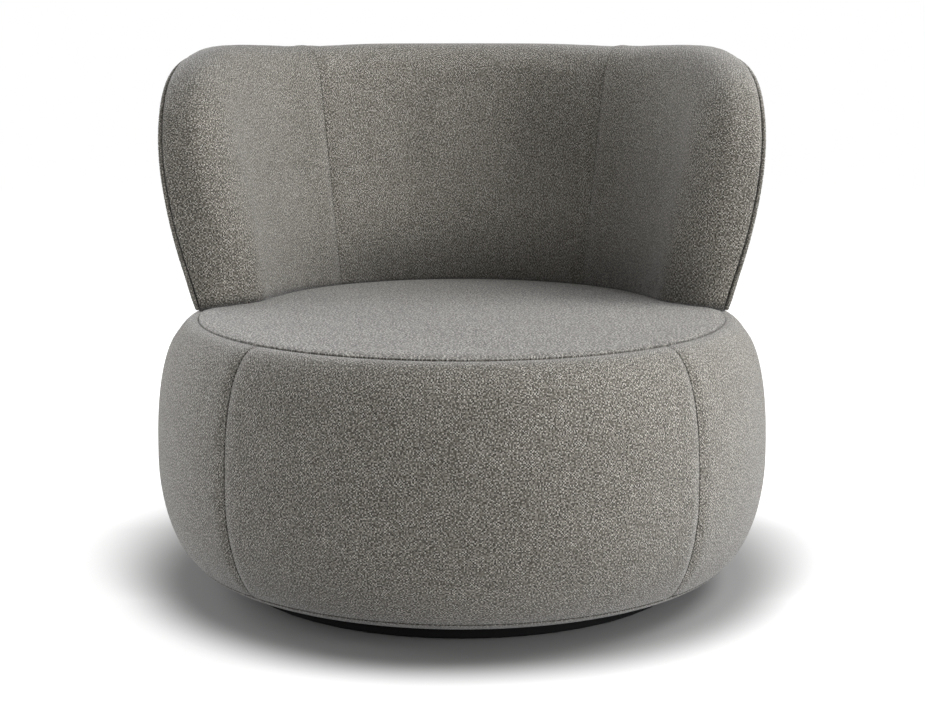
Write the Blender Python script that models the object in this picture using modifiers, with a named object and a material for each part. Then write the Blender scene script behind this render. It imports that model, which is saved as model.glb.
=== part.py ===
"""A swivel lounge chair: a round upholstered drum seat with a low back that wraps round its rear half,
turning on a ball-bearing swivel over a recessed black plinth. Metres, +Z up, the sitter faces -Y.
Angles are measured from the middle of the back, towards the sitter's left hand (+X)."""

import math

import bmesh
import bpy
from mathutils import Matrix, Vector

# Gap kept between pieces that touch
CLEARANCE = 0.0003

# Plinth and its felt glides
PLINTH_RECESS = 0.042
PLINTH_THICKNESS = 0.021
PLINTH_CHAMFER = 0.002
GLIDE_RADIUS = 0.012
GLIDE_HEIGHT = 0.0027
GLIDE_INSET = 0.045
GLIDE_COUNT = 6

# Swivel: two square plates with grooved races, and a cage of balls between them
PLATE_SIDE = 0.300
PLATE_CORNER = 0.020
PLATE_THICKNESS = 0.002
PLATE_TURN = 45.0
BORE_INSET = 0.035
RACE_INSET = 0.025
RACE_WIDTH = 0.016
RACE_LIP = 0.004
RACE_HEIGHT = 0.0022
RACE_GROOVE = 0.0012
RACE_SINK = 0.0005
BALL_RADIUS = 0.0032
BALL_COUNT = 12
BALL_CLEARANCE = 0.0005
CAGE_WIDTH = 0.016
CAGE_THICKNESS = 0.0010
SCREW_INSET = 0.020
SCREW_RADIUS = 0.003
SCREW_POINT = 0.003
SCREW_HEAD_RADIUS = 0.006
SCREW_HEAD_HEIGHT = 0.002
PLINTH_SCREW_LENGTH = 0.015
BOARD_SCREW_LENGTH = 0.014
PILOT_DEPTH = 0.001

# Drum seat: widest ring, the seam round the top panel, and the hem
DRUM_RADIUS = 0.420
DRUM_HEIGHT = 0.3387
WAIST_HEIGHT = 0.1492
SHOULDER_DRAW = 0.0664
UNDERSIDE_DROP = 0.0082
UPPER_FULLNESS = 2.46
LOWER_FULLNESS = 1.92
RING_SEAM_ANGLE = 85.5
RING_GAP_ANGLE = 0.3
HEM_SEAM_ANGLE = -75.0
HEM_GAP_ABOVE = 0.25
HEM_GAP_BELOW = 0.60
HEM_ROUND_ANGLE = 5.0
HEM_REACH = 0.0034
HEM_LIFT = 0.0002
HEM_TURN = 0.0225
HEM_TURN_RISE = 0.0030
SEAT_CROWN = 0.013
CROWN_POWER = 2.5
BAND_SEAMS = (45.0, 135.0, 225.0, 315.0)
SEAM_DRAW = 0.0022
SEAM_DRAW_WIDTH = 0.009
RING_DRAW = 0.0020
RING_DRAW_WIDTH = 0.006

# Back: outer face, inner face, and the edge where the two covers meet
BACK_OVERHANG = 0.0124
BACK_FLARE = 0.0465
BACK_HEIGHT = 0.3490
BACK_FOOT_THICKNESS = 0.0810
BACK_TOP_THICKNESS = 0.0755
FLARE_DROP = 0.0975
INNER_TOP_DROP = 0.0175
PATCH_DEPTH = 0.0125
CORNER_START = 58.0
CORNER_END = 89.0
CORNER_DROP = 0.1575
CORNER_FULLNESS = 2.45
WING_TIP = 86.9
TOP_ROLL_RISE = 0.0135
TOP_ROLL_DEPTH = 0.045
TOP_CREST = 0.50
TOP_DIP = 0.0045
TOP_DIP_WIDTH = 0.080
WING_ROLL_RISE = 0.0110
WING_ROLL_DEPTH = 0.095
WING_CREST = 0.42
ROLL_FULLNESS = 2.0
TIP_LENGTH = 0.030
TIP_TAPER = 0.140
TIP_RISE_SHARE = 0.25
TIP_CREST_SHARE = 0.28
TIP_FULLNESS = 1.6
SECTION_LEAD = 0.080
SECTION_LEAD_SHARE = 0.45
BACK_SEAM = 39.0
BACK_LOBE = 0.006
BACK_SEAM_DRAW = 0.005
BACK_SEAM_WIDTH = 0.018
FOOT_CLEARANCE = 0.0012

# Cloth, foam under it, and piping
COVER_THICKNESS = 0.003
PANEL_GAP = 0.0006
HEM_FOAM_INSET = 0.004
HEM_FOAM_LIFT = 0.0022
HEM_FOAM_SLOPE = 0.0010
HEM_FOAM_ANGLE = 3.0
TIP_FOAM_GAP = 0.030
WELT_RADIUS = 0.003
WELT_GAP = 0.0020
WELT_PROUD = 0.0010

# Frame
WALL_INSET = 0.0356
WALL_THICKNESS = 0.012
WALL_END_GAP = 0.5
FRONT_WALL_DROP = 0.0235
SHELL_END_INSET = 10.9
SHELL_TOP_DEPTH = 0.032
SHELL_EDGE_INSET = 0.026
SHELL_CORNER_LEAD = 8.0
SHELL_CORNER_RUN = 16.0
SHELL_CORNER_DROP = 0.020
BOARD_THICKNESS = 0.018
DECK_DROP = 0.1185
DECK_RING_GAP = 0.006
DECK_RING_WIDTH = 0.077
DECK_RING_THICKNESS = 0.018
STRUT_COUNT = 6
STRUT_INSET = 0.027
STRUT_WIDTH = 0.030
STRUT_DEPTH = 0.018
STRAP_INSET = 0.007
STRAP_WIDTH = 0.060
STRAP_PITCH = 0.110
STRAP_THICKNESS = 0.0015
BRACKET_ANGLES = (-60.0, 0.0, 60.0)
BRACKET_LEG = 0.045
BRACKET_WIDTH = 0.030
BRACKET_THICKNESS = 0.002
BRACKET_STANDOFF = 0.0018
DUST_COVER_THICKNESS = 0.001
DUST_COVER_INSET = 0.0075
DUST_COVER_GAP = 0.0132

# Fineness of the round shapes: counts, azimuths, profile angles and shares of a line
ROUND_STEPS = 48
SMALL_STEPS = 8
GLIDE_STEPS = 12
BALL_STEPS = (6, 5)
PANEL_STEPS = (0.0, 11.0, 22.0, 33.0, 42.0)
SIDE_STEPS = (83.3, 78.0, 68.0, 54.0, 38.0, 18.0, -4.0, -26.0, -48.0, -64.0)
RING_ROWS = (0.0, 0.004, 0.014)
SEAT_SHARES = (0.87, 0.69, 0.415, 0.0)
WALL_STEP = 7.6
SHELL_SHARES = (0.14, 0.28, 0.44, 0.62, 0.80, 1.0)
INNER_SHARES = (0.0, 0.055, 0.12, 0.20, 0.30, 0.43, 0.60, 0.79, 1.0)
OUTER_SHARES = (0.0, 0.10, 0.28, 0.50, 0.74, 1.0)
SEAM_STEP = 0.009
PAST_SEAM_SHARES = (0.17, 0.574, 1.0)
CENTRE_SHARES = (0.0, 0.228, 0.456, 0.684, 0.882, 1.0)
CORNER_STATIONS = 6
WING_STATIONS = 4
WELT_STATIONS = (9, 10, 5)
ROLL_STEPS = 8
FACE_STEPS = 60
FACE_BUNCHING = 1.5
OUTSIDE_STEPS = 40
EDGE_STEPS = 240
PROFILE_STEP = 0.5
EDGE_STEP = 0.004
MERGE = 0.00002
CUT_MARGIN = 0.010

# Heights, stacked up from the floor
PLINTH_BOTTOM = GLIDE_HEIGHT + CLEARANCE
PLINTH_TOP = PLINTH_BOTTOM + PLINTH_THICKNESS
LOWER_PLATE_BOTTOM = PLINTH_TOP + CLEARANCE
LOWER_RACE_BOTTOM = LOWER_PLATE_BOTTOM + PLATE_THICKNESS
BALL_Z = LOWER_RACE_BOTTOM + RACE_HEIGHT - RACE_GROOVE + BALL_CLEARANCE + BALL_RADIUS
UPPER_PLATE_BOTTOM = 2 * BALL_Z - LOWER_RACE_BOTTOM
UPPER_PLATE_TOP = UPPER_PLATE_BOTTOM + PLATE_THICKNESS
BOARD_BOTTOM = UPPER_PLATE_TOP + CLEARANCE
BOARD_TOP = BOARD_BOTTOM + BOARD_THICKNESS
UNDERSIDE_Z = BOARD_BOTTOM - UNDERSIDE_DROP
HEM_Z = UNDERSIDE_Z + HEM_LIFT
DRUM_WAIST_Z = UNDERSIDE_Z + WAIST_HEIGHT
SHOULDER_Z = UNDERSIDE_Z + DRUM_HEIGHT
FRONT_WALL_TOP = SHOULDER_Z - FRONT_WALL_DROP
DECK_RING_Z = SHOULDER_Z - DECK_DROP
DECK_RING_TOP = DECK_RING_Z + DECK_RING_THICKNESS
CROSS_STRAP_Z = DECK_RING_TOP + CLEARANCE
LONG_STRAP_Z = CROSS_STRAP_Z + STRAP_THICKNESS + CLEARANCE
SEAT_FOAM_BOTTOM = LONG_STRAP_Z + STRAP_THICKNESS + CLEARANCE
BACK_EDGE_Z = SHOULDER_Z + BACK_HEIGHT
BACK_FLARE_Z = BACK_EDGE_Z - FLARE_DROP
INNER_TOP_Z = BACK_EDGE_Z - INNER_TOP_DROP
CORNER_Z = BACK_EDGE_Z - CORNER_DROP

# Radii, each from the ring that carries it
SHOULDER_RADIUS = DRUM_RADIUS - SHOULDER_DRAW
HEM_RADIUS = SHOULDER_RADIUS + HEM_REACH
HEM_TURN_RADIUS = HEM_RADIUS - HEM_TURN
DUST_COVER_RADIUS = HEM_TURN_RADIUS - DUST_COVER_INSET
PLINTH_RADIUS = HEM_RADIUS - PLINTH_RECESS
GLIDE_RING = PLINTH_RADIUS - GLIDE_INSET
WALL_RADIUS = SHOULDER_RADIUS - WALL_INSET
WALL_OUTSIDE = WALL_RADIUS + WALL_THICKNESS
DECK_RING_RADIUS = WALL_RADIUS - DECK_RING_GAP
DECK_RING_BORE = DECK_RING_RADIUS - DECK_RING_WIDTH
STRUT_RADIUS = DECK_RING_RADIUS - STRUT_INSET
STRAP_REACH = DECK_RING_RADIUS - STRAP_INSET
BACK_FOOT_RADIUS = SHOULDER_RADIUS + BACK_OVERHANG
BACK_TOP_RADIUS = BACK_FOOT_RADIUS + BACK_FLARE
INNER_FOOT_RADIUS = BACK_FOOT_RADIUS - BACK_FOOT_THICKNESS
INNER_TOP_RADIUS = BACK_TOP_RADIUS - BACK_TOP_THICKNESS
PATCH_RADIUS = BACK_TOP_RADIUS - PATCH_DEPTH
SHELL_HALF_ANGLE = WING_TIP - SHELL_END_INSET
RACE_RADIUS = PLATE_SIDE / 2 - RACE_INSET
PLATE_BORE = RACE_RADIUS - BORE_INSET
SCREW_CORNER = PLATE_SIDE / 2 - SCREW_INSET
PLATE_REACH = (PLATE_SIDE / 2 - PLATE_CORNER) * math.sqrt(2) + PLATE_CORNER
DUST_COVER_BORE = PLATE_REACH + DUST_COVER_GAP

# How deep each foam lies under the outside of its cloth
FOAM_DEPTH = COVER_THICKNESS + 2 * CLEARANCE
BACK_FOAM_DEPTH = COVER_THICKNESS + 4 * CLEARANCE
WELT_CLEAR = WELT_RADIUS + WELT_GAP


# Scene

def clear_scene():
    for obj in list(bpy.data.objects):
        bpy.data.objects.remove(obj)


def new_collection(name):
    made = bpy.data.collections.new(name)
    bpy.context.scene.collection.children.link(made)
    return made


clear_scene()
CHAIR = new_collection("swivel_lounge_chair")
CUTTERS = new_collection("cutters")

# colour, roughness, metallic
FINISHES = {
    "cloth": ((0.235, 0.220, 0.205), 0.95, 0.0),
    "piping": ((0.190, 0.178, 0.166), 0.95, 0.0),
    "foam": ((0.760, 0.720, 0.560), 0.90, 0.0),
    "plywood": ((0.560, 0.400, 0.240), 0.60, 0.0),
    "webbing": ((0.100, 0.095, 0.090), 0.80, 0.0),
    "dust_cloth": ((0.020, 0.020, 0.020), 0.95, 0.0),
    "black_board": ((0.012, 0.012, 0.013), 0.45, 0.0),
    "felt": ((0.060, 0.055, 0.050), 1.00, 0.0),
    "zinc_steel": ((0.560, 0.560, 0.540), 0.35, 1.0),
}


def finish(obj, kind):
    """Gives the object a material of its own, of this kind."""
    colour, roughness, metallic = FINISHES[kind]
    material = bpy.data.materials.new(f"{obj.name}_{kind}")
    material.use_nodes = True
    shader = material.node_tree.nodes["Principled BSDF"]
    shader.inputs["Base Color"].default_value = (*colour, 1.0)
    shader.inputs["Roughness"].default_value = roughness
    shader.inputs["Metallic"].default_value = metallic
    material.diffuse_color = (*colour, 1.0)
    obj.data.materials.clear()
    obj.data.materials.append(material)


def empty(name):
    made = bpy.data.objects.new(name, None)
    CHAIR.objects.link(made)
    return made


PLINTH_AXIS = empty("plinth_axis")
CAGE_AXIS = empty("cage_axis")
SWIVEL_AXIS = empty("swivel_axis")


def add_object(name, mesh, kind, parent, collection=CHAIR):
    obj = bpy.data.objects.new(name, mesh)
    collection.objects.link(obj)
    obj.parent = parent
    if kind:
        finish(obj, kind)
    return obj


def as_cutter(obj):
    obj.hide_render = True
    obj.display_type = "WIRE"
    return obj


def shade(mesh):
    mesh.shade_smooth()
    mesh.set_sharp_from_angle(angle=math.radians(35))


# Shape helpers

def place(radius, degrees, z):
    angle = math.radians(degrees)
    return Vector((radius * math.sin(angle), radius * math.cos(angle), z))


def mesh_of(name, build):
    """A mesh from a function that fills a bmesh."""
    work = bmesh.new()
    build(work)
    mesh = bpy.data.meshes.new(name)
    work.to_mesh(mesh)
    work.free()
    return mesh


def turned(name, profile, kind, parent, steps=ROUND_STEPS, closed=False, collection=CHAIR):
    """A round piece: a profile of (radius, z) turned about Z with a Screw modifier."""
    mesh = bpy.data.meshes.new(name)
    count = len(profile)
    edges = [(i, i + 1) for i in range(count - 1)]
    if closed:
        edges.append((count - 1, 0))
    mesh.from_pydata([(r, 0.0, z) for r, z in profile], edges, [])
    obj = add_object(name, mesh, kind, parent, collection)
    screw = obj.modifiers.new("Turn", "SCREW")
    screw.axis = "Z"
    screw.steps = steps
    screw.render_steps = steps
    screw.use_merge_vertices = True
    screw.merge_threshold = MERGE / 2
    screw.use_smooth_shade = True
    return obj


def disc(name, radius, bottom, top, kind, parent, steps=ROUND_STEPS, chamfer=0.0):
    profile = [(0.0, top), (radius, top), (radius, bottom), (0.0, bottom)]
    if chamfer:
        profile[1:3] = [
            (radius - chamfer, top), (radius, top - chamfer),
            (radius, bottom + chamfer), (radius - chamfer, bottom),
        ]
    return turned(name, profile, kind, parent, steps)


def ring(name, inner, outer, bottom, top, kind, parent):
    profile = [(inner, top), (outer, top), (outer, bottom), (inner, bottom)]
    return turned(name, profile, kind, parent, closed=True)


def box(name, size, centre, kind, parent, degrees=0.0):
    turn = Matrix.Rotation(math.radians(-degrees), 4, "Z")

    def build(work):
        bmesh.ops.create_cube(work, size=1.0)
        bmesh.ops.scale(work, vec=Vector(size), verts=work.verts)

    obj = add_object(name, mesh_of(name, build), kind, parent)
    obj.location = turn @ Vector(centre)
    obj.rotation_euler.z = math.radians(-degrees)
    return obj


def rods(name, points, radius, bottom, top):
    """A cutter of upright rods at these (x, y) points."""
    def build(work):
        for x, y in points:
            bmesh.ops.create_cone(
                work, cap_ends=True, segments=SMALL_STEPS, radius1=radius, radius2=radius,
                depth=top - bottom, matrix=Matrix.Translation((x, y, (bottom + top) / 2)),
            )

    return as_cutter(add_object(name, mesh_of(name, build), None, None, CUTTERS))


def boolean(obj, other, operation):
    made = obj.modifiers.new(other.name, "BOOLEAN")
    made.operation = operation
    made.solver = "EXACT"
    made.object = other


def grid_faces(work, rows, wrap=False):
    """Quads between neighbouring lines of points. Returns the lines as bmesh vertices."""
    lines = [[work.verts.new(point) for point in row] for row in rows]
    pairs = list(zip(lines, lines[1:]))
    if wrap:
        pairs.append((lines[-1], lines[0]))
    for here, there in pairs:
        for i in range(len(here) - 1):
            work.faces.new((here[i], here[i + 1], there[i + 1], there[i]))
    return lines


def tidy(work):
    bmesh.ops.remove_doubles(work, verts=work.verts, dist=MERGE)
    bmesh.ops.dissolve_degenerate(work, edges=work.edges, dist=MERGE / 2)
    bmesh.ops.recalc_face_normals(work, faces=work.faces)


def cover(name, rows, flip=False, wrap=False):
    """A piece of cloth: the outer surface as lines of points, thickened inwards."""
    def build(work):
        grid_faces(work, rows, wrap)
        bmesh.ops.remove_doubles(work, verts=work.verts, dist=MERGE)
        if flip:
            bmesh.ops.reverse_faces(work, faces=work.faces)

    obj = add_object(name, mesh_of(name, build), "cloth", SWIVEL_AXIS)
    shade(obj.data)
    solid = obj.modifiers.new("Cloth", "SOLIDIFY")
    solid.thickness = COVER_THICKNESS
    solid.offset = -1.0
    solid.use_rim = True
    return obj


def closed_ring(name, sections, kind):
    """A solid through closed sections that go once round the axis."""
    def build(work):
        looped = [section + [section[0]] for section in sections]
        grid_faces(work, looped, wrap=True)
        tidy(work)

    obj = add_object(name, mesh_of(name, build), kind, SWIVEL_AXIS)
    shade(obj.data)
    return obj


# Drum seat

def drum_profile(degrees, inset=0.0):
    """A point (radius, z) of the drum's side: 0 is its widest ring, 90 the top and -90 the underside."""
    def at(angle):
        c = max(math.cos(math.radians(angle)), 0.0)
        s = math.sin(math.radians(angle))
        if s >= 0:
            power, reach = 2 / UPPER_FULLNESS, SHOULDER_Z - DRUM_WAIST_Z
        else:
            power, reach = 2 / LOWER_FULLNESS, DRUM_WAIST_Z - UNDERSIDE_Z
        radius = SHOULDER_RADIUS + (DRUM_RADIUS - SHOULDER_RADIUS) * c**power
        return radius, DRUM_WAIST_Z + math.copysign(reach * abs(s) ** power, s)

    r, z = at(degrees)
    ahead, behind = at(degrees + PROFILE_STEP), at(degrees - PROFILE_STEP)
    run, rise = ahead[0] - behind[0], ahead[1] - behind[1]
    length = math.hypot(run, rise)
    return r - inset * rise / length, z + inset * run / length


SEAM_RADIUS, SEAM_Z = drum_profile(RING_SEAM_ANGLE)
# A round wall is made of flats, so what lies inside or outside it keeps clear of the flats too
WALL_INSIDE_FLATS = WALL_RADIUS * math.cos(math.radians(WALL_STEP / 2)) - CLEARANCE
FOAM_BORE = (WALL_OUTSIDE + 3 * CLEARANCE) / math.cos(math.radians(PANEL_STEPS[1] / 2))
SEAT_ROWS = [SEAM_RADIUS * share for share in SEAT_SHARES]
RING_EDGE = SEAM_RADIUS - PANEL_GAP / 2


def crown_height(radius):
    """The seat's top surface, before the seam draws it in."""
    return SEAM_Z + SEAT_CROWN * (1 - min(radius / SEAM_RADIUS, 1.0) ** CROWN_POWER)


def seat_height(radius):
    near = (SEAM_RADIUS - radius) / RING_DRAW_WIDTH
    return crown_height(radius) - RING_DRAW * math.exp(-near * near)


def seam_draw(degrees):
    """How far the side is drawn in by the nearest upright seam."""
    nearest = min(abs((degrees - seam + 180) % 360 - 180) for seam in BAND_SEAMS)
    near = math.radians(nearest) * DRUM_RADIUS / SEAM_DRAW_WIDTH
    return SEAM_DRAW * math.exp(-near * near)


def side_point(degrees, angle, depth=0.0):
    """A point of the drum's side at this azimuth and profile angle, this deep under the cloth."""
    r, _ = drum_profile(angle)
    at_ring = 0.0
    if angle > 0:
        near = max(r - SEAM_RADIUS, 0.0) / RING_DRAW_WIDTH
        at_ring = RING_DRAW * math.exp(-near * near)
    along = math.sin(math.radians(max(angle, 0.0) * 90 / RING_SEAM_ANGLE))
    radius, z = drum_profile(angle, seam_draw(degrees) * (1 - along**8) + at_ring + depth)
    return place(radius, degrees, z)


def panel_azimuths(centre, half=45.0):
    """Azimuths across one side panel, closer together by its seams, with half the gap left at each."""
    edge = half - math.degrees(PANEL_GAP / 2 / DRUM_RADIUS)
    right = [step for step in PANEL_STEPS if step] + [edge]
    return [centre - step for step in reversed(right)] + [centre] + [centre + step for step in right]


def drum_azimuths():
    """Azimuths all the way round, shared by the foam under the cloth and the top panel."""
    found = []
    for centre in (0.0, 90.0, 180.0, 270.0):
        inner = [step for step in PANEL_STEPS if step]
        found += [centre - step for step in reversed(inner)] + [centre]
        found += [centre + step for step in inner] + [centre + 45.0]
    return found


def make_band_covers():
    angles = [RING_SEAM_ANGLE - RING_GAP_ANGLE, *SIDE_STEPS, HEM_SEAM_ANGLE + HEM_GAP_ABOVE]
    for side, centre in (("rear", 0.0), ("left", 90.0), ("front", 180.0), ("right", 270.0)):
        rows = [[side_point(azimuth, angle) for angle in angles] for azimuth in panel_azimuths(centre)]
        cover(f"band_cover_{side}", rows, flip=True)


def make_seat_top_cover(slot):
    radii = [RING_EDGE - row for row in RING_ROWS] + SEAT_ROWS
    rows = [[place(r, azimuth, seat_height(r)) for r in radii] for azimuth in drum_azimuths()]
    obj = cover("seat_top_cover", rows, wrap=True)
    boolean(obj, slot, "DIFFERENCE")


def make_hem_band():
    """The narrow strip below the hem seam, turned under and fixed beneath the bottom board."""
    turn = [drum_profile(HEM_SEAM_ANGLE - below) for below in (HEM_GAP_BELOW, HEM_ROUND_ANGLE)]
    turn += [(HEM_RADIUS, HEM_Z), (HEM_TURN_RADIUS, HEM_Z + HEM_TURN_RISE)]
    rows = [[place(r, azimuth, z) for r, z in turn] for azimuth in drum_azimuths()]
    cover("hem_band", rows, flip=True, wrap=True)


def make_band_foam():
    """The ring of foam round the frame's wall, under the side panels and the rim of the top one."""
    sections = []
    top_radii = (FOAM_BORE, RING_EDGE - RING_ROWS[2], RING_EDGE - RING_ROWS[1])
    angles = (*SIDE_STEPS, HEM_SEAM_ANGLE + HEM_FOAM_ANGLE)
    under = HEM_Z + FOAM_DEPTH + HEM_FOAM_LIFT
    for azimuth in drum_azimuths():
        points = [place(r, azimuth, seat_height(r) - FOAM_DEPTH) for r in top_radii]
        points += [side_point(azimuth, angle, FOAM_DEPTH) for angle in angles]
        points.append(place(HEM_RADIUS - HEM_FOAM_INSET, azimuth, under))
        points.append(place(FOAM_BORE, azimuth, under + HEM_FOAM_SLOPE))
        sections.append(points)
    closed_ring("band_foam", sections, "foam")


def make_seat_foam():
    radii = [*reversed(SEAT_ROWS[1:]), WALL_INSIDE_FLATS]
    profile = [(r, seat_height(r) - FOAM_DEPTH) for r in radii]
    profile += [(WALL_INSIDE_FLATS, SEAT_FOAM_BOTTOM), (0.0, SEAT_FOAM_BOTTOM)]
    turned("seat_foam", profile, "foam", SWIVEL_AXIS)


# Back: its outer face, its edge and the cross-sections that run over the edge and down the inside

BACK_FOOT_Z = crown_height(INNER_FOOT_RADIUS) + FOOT_CLEARANCE


def mix(a, b, share):
    return a + (b - a) * min(max(share, 0.0), 1.0)


def outer_radius(z):
    below = max(BACK_FLARE_Z - z, 0.0) / (BACK_FLARE_Z - SEAM_Z)
    return BACK_TOP_RADIUS - (BACK_TOP_RADIUS - BACK_FOOT_RADIUS) * below * below


def inner_radius(z):
    share = (z - BACK_FOOT_Z) / (INNER_TOP_Z - BACK_FOOT_Z)
    return INNER_FOOT_RADIUS + (INNER_TOP_RADIUS - INNER_FOOT_RADIUS) * share


def along_patch(degrees):
    return math.radians(degrees) * PATCH_RADIUS


TOP_LENGTH = along_patch(CORNER_START)
CORNER_WIDTH = along_patch(CORNER_END - CORNER_START)
CORNER_HEIGHT = BACK_EDGE_Z - CORNER_Z
CORNER_LENGTH = math.pi / 2 * math.sqrt((CORNER_WIDTH**2 + CORNER_HEIGHT**2) / 2)
WING_LENGTH = CORNER_Z - BACK_FOOT_Z
EDGE_LENGTH = TOP_LENGTH + CORNER_LENGTH + WING_LENGTH
SEAM_AT = along_patch(BACK_SEAM)


def edge_point(at):
    """The back's edge at this length from the middle of the top, as (length along the patch, z)."""
    if at <= TOP_LENGTH:
        return Vector((at, BACK_EDGE_Z))
    if at <= TOP_LENGTH + CORNER_LENGTH:
        angle = (at - TOP_LENGTH) / CORNER_LENGTH * math.pi / 2
        power = 2 / CORNER_FULLNESS
        across = CORNER_WIDTH * math.sin(angle) ** power
        return Vector((TOP_LENGTH + across, CORNER_Z + CORNER_HEIGHT * max(math.cos(angle), 0.0) ** power))
    share = (at - TOP_LENGTH - CORNER_LENGTH) / WING_LENGTH
    return Vector((along_patch(mix(CORNER_END, WING_TIP, share)), mix(CORNER_Z, BACK_FOOT_Z, share)))


def edge_outward(at):
    run = edge_point(min(at + EDGE_STEP, EDGE_LENGTH)) - edge_point(max(at - EDGE_STEP, 0.0))
    return Vector((-run.y, run.x)).normalized()


def foot_point(at):
    """Where the cross-section that starts at this place on the edge meets the seat."""
    if at <= TOP_LENGTH:
        return Vector((at, BACK_FOOT_Z))
    share = (at - TOP_LENGTH) / (EDGE_LENGTH - TOP_LENGTH)
    last = along_patch(WING_TIP) - TIP_LENGTH
    return Vector((mix(TOP_LENGTH, last, share), BACK_FOOT_Z))


EDGE_LINE = [edge_point(EDGE_LENGTH * i / EDGE_STEPS) for i in range(EDGE_STEPS + 1)]


def edge_distance(point):
    return min((point - other).length for other in EDGE_LINE)


def roll_shape(at):
    """(rise past the edge, depth of the roll's inner side, crest's share of the thickness, fullness)."""
    to_wing = (at - TOP_LENGTH) / CORNER_LENGTH
    to_tip = min((EDGE_LENGTH - at) / TIP_TAPER, 1.0)
    near_seam = (at - SEAM_AT) / TOP_DIP_WIDTH
    dip = TOP_DIP * math.exp(-near_seam * near_seam)
    rise = mix(TOP_ROLL_RISE, WING_ROLL_RISE, to_wing) * mix(TIP_RISE_SHARE, 1.0, to_tip) - dip
    depth = mix(TOP_ROLL_DEPTH, WING_ROLL_DEPTH, to_wing)
    crest = mix(TOP_CREST, WING_CREST, to_wing) * mix(TIP_CREST_SHARE, 1.0, to_tip)
    return rise, depth, crest, mix(TIP_FULLNESS, ROLL_FULLNESS, to_tip)


def lobes(along, z):
    """The inner face's fullness: each panel is crowned, and drawn in along its seams."""
    length = abs(along)
    if length < SEAM_AT:
        crown = math.cos(length / SEAM_AT * math.pi / 2)
    else:
        wing = (length - SEAM_AT) / (along_patch(CORNER_END) - SEAM_AT)
        crown = math.sin(min(wing, 1.0) * math.pi)
    near = (length - SEAM_AT) / BACK_SEAM_WIDTH
    share = (z - BACK_FOOT_Z) / (BACK_EDGE_Z - BACK_FOOT_Z)
    height = math.sin(math.pi * min(max(share, 0.0), 1.0))
    return BACK_LOBE * crown * height - BACK_SEAM_DRAW * math.exp(-near * near)


def patch_to_space(point, depth):
    z = point.y
    return place(outer_radius(z) - depth, math.degrees(point.x / PATCH_RADIUS), z)


def thickness_at(point):
    return outer_radius(point.y) - inner_radius(point.y) + lobes(point.x, point.y)


def curved_path(start, outward, at, share):
    """A path on the patch that leaves the edge squarely and bends down to the seat."""
    edge, foot = edge_point(at), foot_point(at)
    lead = edge - outward * min(SECTION_LEAD, SECTION_LEAD_SHARE * (edge - foot).length)
    return start * (1 - share) ** 2 + lead * 2 * share * (1 - share) + foot * share**2


def inner_line(at):
    """Closely spaced points of a cross-section, from the edge over the roll and down to the seat."""
    rise, depth, crest, fullness = roll_shape(at)
    edge, outward = edge_point(at), edge_outward(at)
    points = []
    for i in range(ROLL_STEPS + 1):
        angle = i / ROLL_STEPS * math.pi / 2
        point = edge + outward * rise * math.sin(angle)
        points.append(patch_to_space(point, crest * thickness_at(point) * (1 - math.cos(angle))))
    start = edge + outward * rise
    for i in range(1, FACE_STEPS + 1):
        point = curved_path(start, outward, at, (i / FACE_STEPS) ** FACE_BUNCHING)
        beyond = (point - edge).dot(outward) > 0
        inside = rise + edge_distance(point) * (-1 if beyond else 1)
        left = min(max(1 - inside / depth, 0.0), 1.0)
        share = crest + (1 - crest) * (1 - left**fullness) ** (1 / fullness)
        points.append(patch_to_space(point, thickness_at(point) * share))
    return points


def outer_line(at):
    edge, outward = edge_point(at), edge_outward(at)
    path = [curved_path(edge, outward, at, i / OUTSIDE_STEPS) for i in range(OUTSIDE_STEPS + 1)]
    return [patch_to_space(point, 0.0) for point in path]


def resampled(points, shares):
    """Points of a fine line: its start, a point clear of the piping, and then at shares of the rest."""
    lengths = [0.0]
    for a, b in zip(points, points[1:]):
        lengths.append(lengths[-1] + (b - a).length)
    total = lengths[-1]
    wanted = [0.0] + [WELT_CLEAR + (total - WELT_CLEAR) * share for share in shares]
    found, i = [], 0
    for target in wanted:
        while i < len(lengths) - 2 and lengths[i + 1] < target:
            i += 1
        span = max(lengths[i + 1] - lengths[i], 1e-9)
        found.append(points[i].lerp(points[i + 1], (target - lengths[i]) / span))
    found[-1] = settled(found[-1])
    return found


def settled(point, extra=0.0):
    """The point at the height where the back stands on the seat."""
    radius = math.hypot(point.x, point.y)
    return Vector((point.x, point.y, crown_height(radius) + FOOT_CLEARANCE + extra))


def section(at, line, shares):
    """One cross-section. A negative length is the mirror of a positive one."""
    points = resampled(line(abs(at)), shares)
    if abs(at) > EDGE_LENGTH - 0.0001:
        points = [settled(point) for point in points]
    side = -1 if at < 0 else 1
    return [Vector((side * point.x, point.y, point.z)) for point in points]


def spaced(low, high, parts):
    return [low + (high - low) * i / parts for i in range(1, parts + 1)]


def right_stations():
    """Lengths along the right half of the edge, past its seam."""
    start = SEAM_AT + SEAM_STEP
    near = [start] + [mix(start, TOP_LENGTH, share) for share in PAST_SEAM_SHARES]
    corner = spaced(TOP_LENGTH, TOP_LENGTH + CORNER_LENGTH, CORNER_STATIONS)
    wing = spaced(TOP_LENGTH + CORNER_LENGTH, EDGE_LENGTH, WING_STATIONS)
    return near + corner + wing


def centre_stations():
    half = [(SEAM_AT - SEAM_STEP) * share for share in CENTRE_SHARES]
    return [-at for at in reversed(half[1:])] + half


def panel_stations():
    """The three panels of the back, from the sitter's right to left, each with half a gap at its seams."""
    edge = PANEL_GAP / 2
    right = [SEAM_AT + edge] + right_stations()
    centre = [-SEAM_AT + edge] + centre_stations() + [SEAM_AT - edge]
    return {"right": [-at for at in reversed(right)], "centre": centre, "left": right}


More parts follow.
